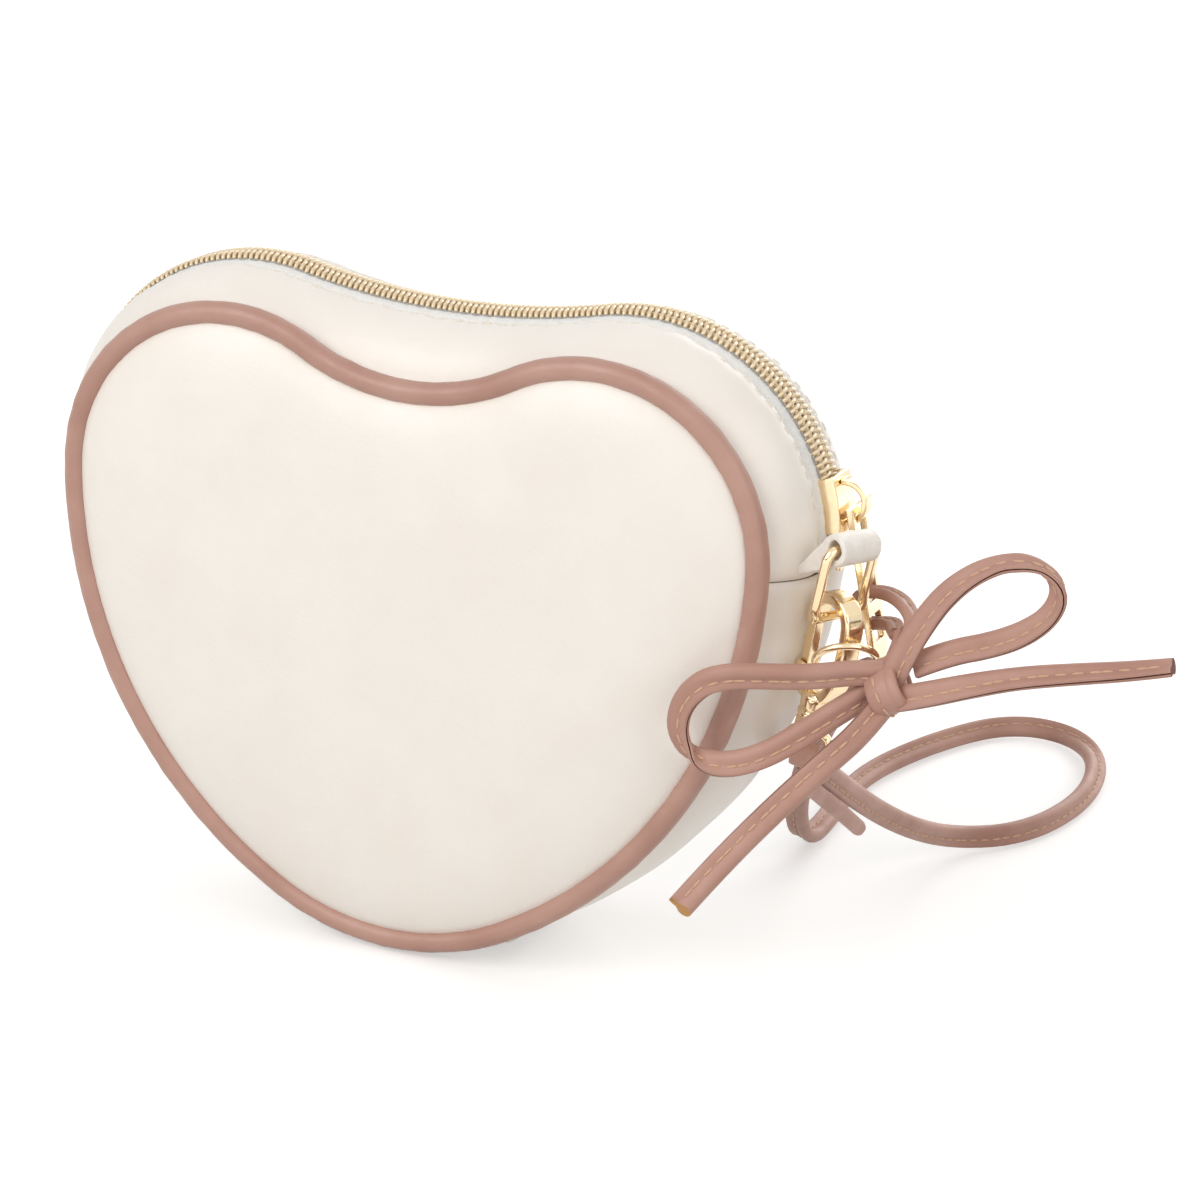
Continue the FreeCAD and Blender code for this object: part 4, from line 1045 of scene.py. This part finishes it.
def tape_rise(y):
    """The tape stands a little higher in the open than under the strips."""
    return min(max((STRIP_EDGE - abs(y)) / 1.2, 0), 1)


def tape_relief(run, rest, y):
    return 0.06 * math.sin(run * 2.2) + 0.8 * tape_rise(y)


for word, side in FACES:
    tape = leather_sheet(word + "_zip_tape_cloth", "top", [side * y for y in TAPE_STATIONS],
                         tape_relief, TAPE_STAND)
    apply_modifier(tape, "SOLIDIFY", thickness=TAPE_THICKNESS * MM, offset=-1)
    smooth(tape, 40)
    settle(tape, "pouch", [TAPE], ["zip_tape_" + word])

# %% One turn of the coil
# Each point is its distance from the zip's middle, its height over the tape and its place along the zip.
TURN_LINE = [(3.05, 0.25, -0.10), (2.95, 1.05, -0.08), (2.45, 1.62, 0.0), (1.5, 1.74, 0.16),
             (0.65, 1.66, 0.34), (0.22, 1.25, 0.42), (0.1, 0.6, 0.42)]
TURN_RADII = (0.40, 0.42, 0.42, 0.42, 0.46, 0.46, 0.34)
turn_points = np.array([(along, out_y, up) for out_y, up, along in TURN_LINE]) * MM
turn_edge, turn_face = frames_along(turn_points, [(0.0, (1, 0, 0)), (1.0, (1, 0, 0))])[1:]
turn_rows = []
for point, edge, face, radius in zip(turn_points, turn_edge, turn_face, TURN_RADII):
    turn_rows.append([point + (edge * math.cos(a) + face * math.sin(a)) * radius * MM
                      for a in np.linspace(0, 2 * math.pi, 7)])
coil_seed = laid_grid("coil_turn_seed", turn_rows)
weld(coil_seed, FINE_GAP, close=True)
smooth(coil_seed)
print("turn", len(coil_seed.data.polygons), "faces")

# %% All turns, and the sewing that holds them
TURN_PITCH = 1.15
COIL_STAND = OUTER_STAND - WALL
COIL_MARGIN = 2.6
SEWING_PLACE = Vector((0.0, 3.55, 0.75)) * MM
coil_line = outline("top", COIL_STAND, 1.0)
coil_length = runs_along(coil_line)[-1]
for word, side in FACES:
    shift = 0.5 * TURN_PITCH if word == "back" else 0.0
    runs = np.arange(COIL_MARGIN + shift, coil_length - COIL_MARGIN, TURN_PITCH)
    places, out, _ = walk(coil_line, runs / coil_length)
    spots = []
    for (x, z), (nx, nz) in zip(places, out):
        along, rise = Vector((-nz, 0, nx)), Vector((nx, 0, nz))
        spots.append(axes_at(Vector((x, 0, z)) * MM, along, Vector((0, side, 0)), rise))
    coil = copies("zip_coil_turns_" + word, coil_seed, spots)
    weld(coil, 0.0000001)
    smooth(coil)
    settle(coil, "pouch", [COIL], ["zip_coil_" + word])
    # The sewing's grey is partly thread and partly painted shade at the coil's edge.
    sewing = copies("zip_coil_sewing_" + word, stitch_seed,
                    [spot @ Matrix.Translation(SEWING_PLACE) for spot in spots[1:-1:2]])
    settle(sewing, "pouch", [GREY_THREAD_AND_SHADE])
bpy.data.objects.remove(coil_seed)

# %% [markdown]
# Inside the turns runs a filler cord. It is hardly seen, but without it the gaps between the turns would
# look straight down to the shadow on the tape. It is a plain tube along the same line.

# %% Filler cords
FILLER_RADIUS, FILLER_Y, FILLER_UP = 0.62, 1.6, 0.95
FILLER_SIDES, FILLER_ROWS = 10, 260
filler_runs = np.linspace(COIL_MARGIN, coil_length - COIL_MARGIN, FILLER_ROWS)
filler_line = walk(coil_line, filler_runs / coil_length)
for word, side in FACES:
    filler = tube_beside("zip_coil_filler_" + word, filler_line, side * FILLER_Y, FILLER_UP, FILLER_SIDES,
                         lambda run, a: FILLER_RADIUS)
    weld(filler, FINE_GAP, close=True)
    smooth(filler)
    settle(filler, "pouch", [COIL])

# %% [markdown]
# ## Polished hardware
# Slider, bridge, pull, stops, gate and swivel are cast and tumbled, so no edge is sharp. Rounding every edge
# of a CAD mesh by bevels is fragile. An even remesh of a copy at about a seventh of a millimetre, smoothed a
# few times, softens all edges alike, as tumbling does. Rings of round wire, the gate's pin and its spring
# need nothing but the finish.

# %% Rounded copies of cast parts
def tumbled(name, node, voxel, rounds):
    """A copy of a CAD node with soft edges: voxel in mm, and so many rounds of smoothing."""
    piece = bpy.data.objects.new(name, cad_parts[node].data.copy())
    bpy.context.scene.collection.objects.link(piece)
    piece.data.materials.clear()
    weld(piece, 0.000001)
    apply_modifier(piece, "REMESH", mode="VOXEL", voxel_size=voxel * MM)
    apply_modifier(piece, "SMOOTH", factor=0.5, iterations=rounds)
    smooth(piece)
    return piece


CAST = (("zip_slider", "slider", 0.16, 5), ("slider_bridge", "slider", 0.14, 5),
        ("zip_pull", "pull", 0.16, 5), ("clasp_gate", "gate", 0.14, 4),
        ("swivel_eye", "strap", 0.15, 3), ("zip_stops", "pouch", 0.14, 4))
for node, body, voxel, rounds in CAST:
    settle(tumbled(node + "_cast", node, voxel, rounds), body, [GOLD], [node])
for node in ("tab_ring", "strap_ring", "gate_pin", "gate_spring"):
    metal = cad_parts[node].data.materials
    metal.clear()
    metal.append(GOLD)

# %% [markdown]
# ## The clasp's hook
# The hook is one flat bar, bent to a long eye that stays open at the gate, with a ribbed barrel under it for
# the swivel. CAD has it as plain blocks. Here the bar is a rounded section laid along its own bent line,
# the barrel is a turned profile, and a remesh makes one casting of both. The slot for the gate and the
# hollow for the swivel's head are cut afterwards, at the same places as in CAD.

# %% Bent bar and turned barrel
CLASP_PLACE = (Matrix.Translation(Vector((81.132, -12.165, 78.893)) * MM)
               @ Matrix.Rotation(math.radians(-31), 4, "Z") @ Matrix.Rotation(math.radians(11), 4, "Y"))
HOOK_LINE = [(-4.5, 0, -3.6), (-4.6, 0, -1.8), (-3.9, 0, 1.2), (-1.6, 0, 3.05), (1.6, 0, 3.05),
             (4.0, 0, 1.3), (4.7, 0, -1.6), (4.75, 0, -5.5), (4.6, 0, -9.5), (3.9, 0, -13.0),
             (1.8, 0, -16.2), (-1.4, 0, -16.7), (-4.3, 0, -16.2), (-4.7, 0, -13.6), (-4.6, 0, -11.4)]
HOOK_CORNER = [(1.95, 0.7), (1.8, 0.98), (1.55, 1.1)]
hook_half = HOOK_CORNER + [(-a, b) for a, b in HOOK_CORNER[::-1]]
hook_ring = hook_half + [(-a, -b) for a, b in hook_half]
HOOK_SECTION = hook_ring[-1:] + hook_ring
BARREL = [(0.01, -15.4), (2.3, -15.5), (2.9, -16.0), (3.05, -16.6), (3.05, -18.3), (2.7, -18.6), (2.7, -19.1),
          (3.2, -19.4), (3.2, -20.1), (2.75, -20.4), (2.75, -20.8), (3.2, -21.0), (3.2, -21.5), (3.0, -21.65),
          (0.01, -21.65)]
HOLLOW = [(0.01, -22.5), (1.65, -22.5), (1.65, -18.55), (2.35, -18.5), (2.35, -16.75), (0.01, -16.7)]
SLOT_MIDDLE = Vector((-5.0, 0, -8.7)) * MM
SLOT_SIZE = Vector((4.0, 2.4, 10.8)) * MM


def turned(name, profile):
    """A profile of (radius, height) spun round the clasp's own upright axis."""
    piece = laid_grid(name, [[(r * math.cos(a) * MM, r * math.sin(a) * MM, z * MM)
                              for a in np.linspace(0, 2 * math.pi, 33)] for r, z in profile])
    weld(piece, 0.00003, close=True)
    return piece


def cut_away(piece, cutter):
    apply_modifier(piece, "BOOLEAN", operation="DIFFERENCE", object=cutter)
    bpy.data.objects.remove(cutter)


print("hook of", len(HOOK_LINE), "points, barrel of", len(BARREL))

# %% One casting, cut for gate and swivel
bar_points = smooth_line(HOOK_LINE)[0]
bar_edge, bar_face = frames_along(bar_points, [(0, (0, 1, 0)), (1, (0, 1, 0))])[1:]
hook = laid_grid("clasp_hook_cast", [[point + (edge * a + face * b) * MM for a, b in HOOK_SECTION]
                                     for point, edge, face in zip(bar_points, bar_edge, bar_face)])
weld(hook, FINE_GAP, close=True)
barrel = turned("clasp_barrel", BARREL)
pick_only(hook)
barrel.select_set(True)
bpy.ops.object.join()
apply_modifier(hook, "REMESH", mode="VOXEL", voxel_size=0.16 * MM)
cut_away(hook, turned("hollow_cutter", HOLLOW))
bpy.ops.mesh.primitive_cube_add(size=1)
slot_cutter = bpy.context.object
slot_cutter.data.transform(Matrix.Translation(SLOT_MIDDLE) @ Matrix.Diagonal((*SLOT_SIZE, 1)))
cut_away(hook, slot_cutter)
apply_modifier(hook, "REMESH", mode="VOXEL", voxel_size=0.13 * MM)
apply_modifier(hook, "SMOOTH", factor=0.5, iterations=3)
hook.data.transform(CLASP_PLACE)
smooth(hook)
settle(hook, "clasp", [GOLD], ["clasp_hook"])

# %% [markdown]
# ## Soft loops round metal
# The white tab holds the side ring in its roll, and two short pink folds hold the strap to the eye and
# to the round ring. They are leather wrapped tight, so a softened copy with a few creases is their form.

# %% Tab and folds
def wrapped(name, node, voxel, rounds, crease):
    """A softened copy of a CAD node with creases up to so many mm high."""
    piece = tumbled(name, node, voxel, rounds)
    for spot in piece.data.vertices:
        wave = noise.noise(spot.co * 420) + 0.5 * noise.noise(spot.co * 1100)
        spot.co += spot.normal * wave * crease * MM
    smooth(piece)
    return piece


tab = wrapped("ring_tab_leather", "ring_tab", 0.28, 8, 0.16)
settle(tab, "pouch", [PEARL], ["ring_tab"])
for node in ("strap_eye_fold", "strap_ring_fold"):
    settle(wrapped(node + "_leather", node, 0.2, 5, 0.1), "strap", [RIBBON], [node])

# %% Remove the seed and finish
bpy.data.objects.remove(stitch_seed)
bpy.ops.object.select_all(action="DESELECT")
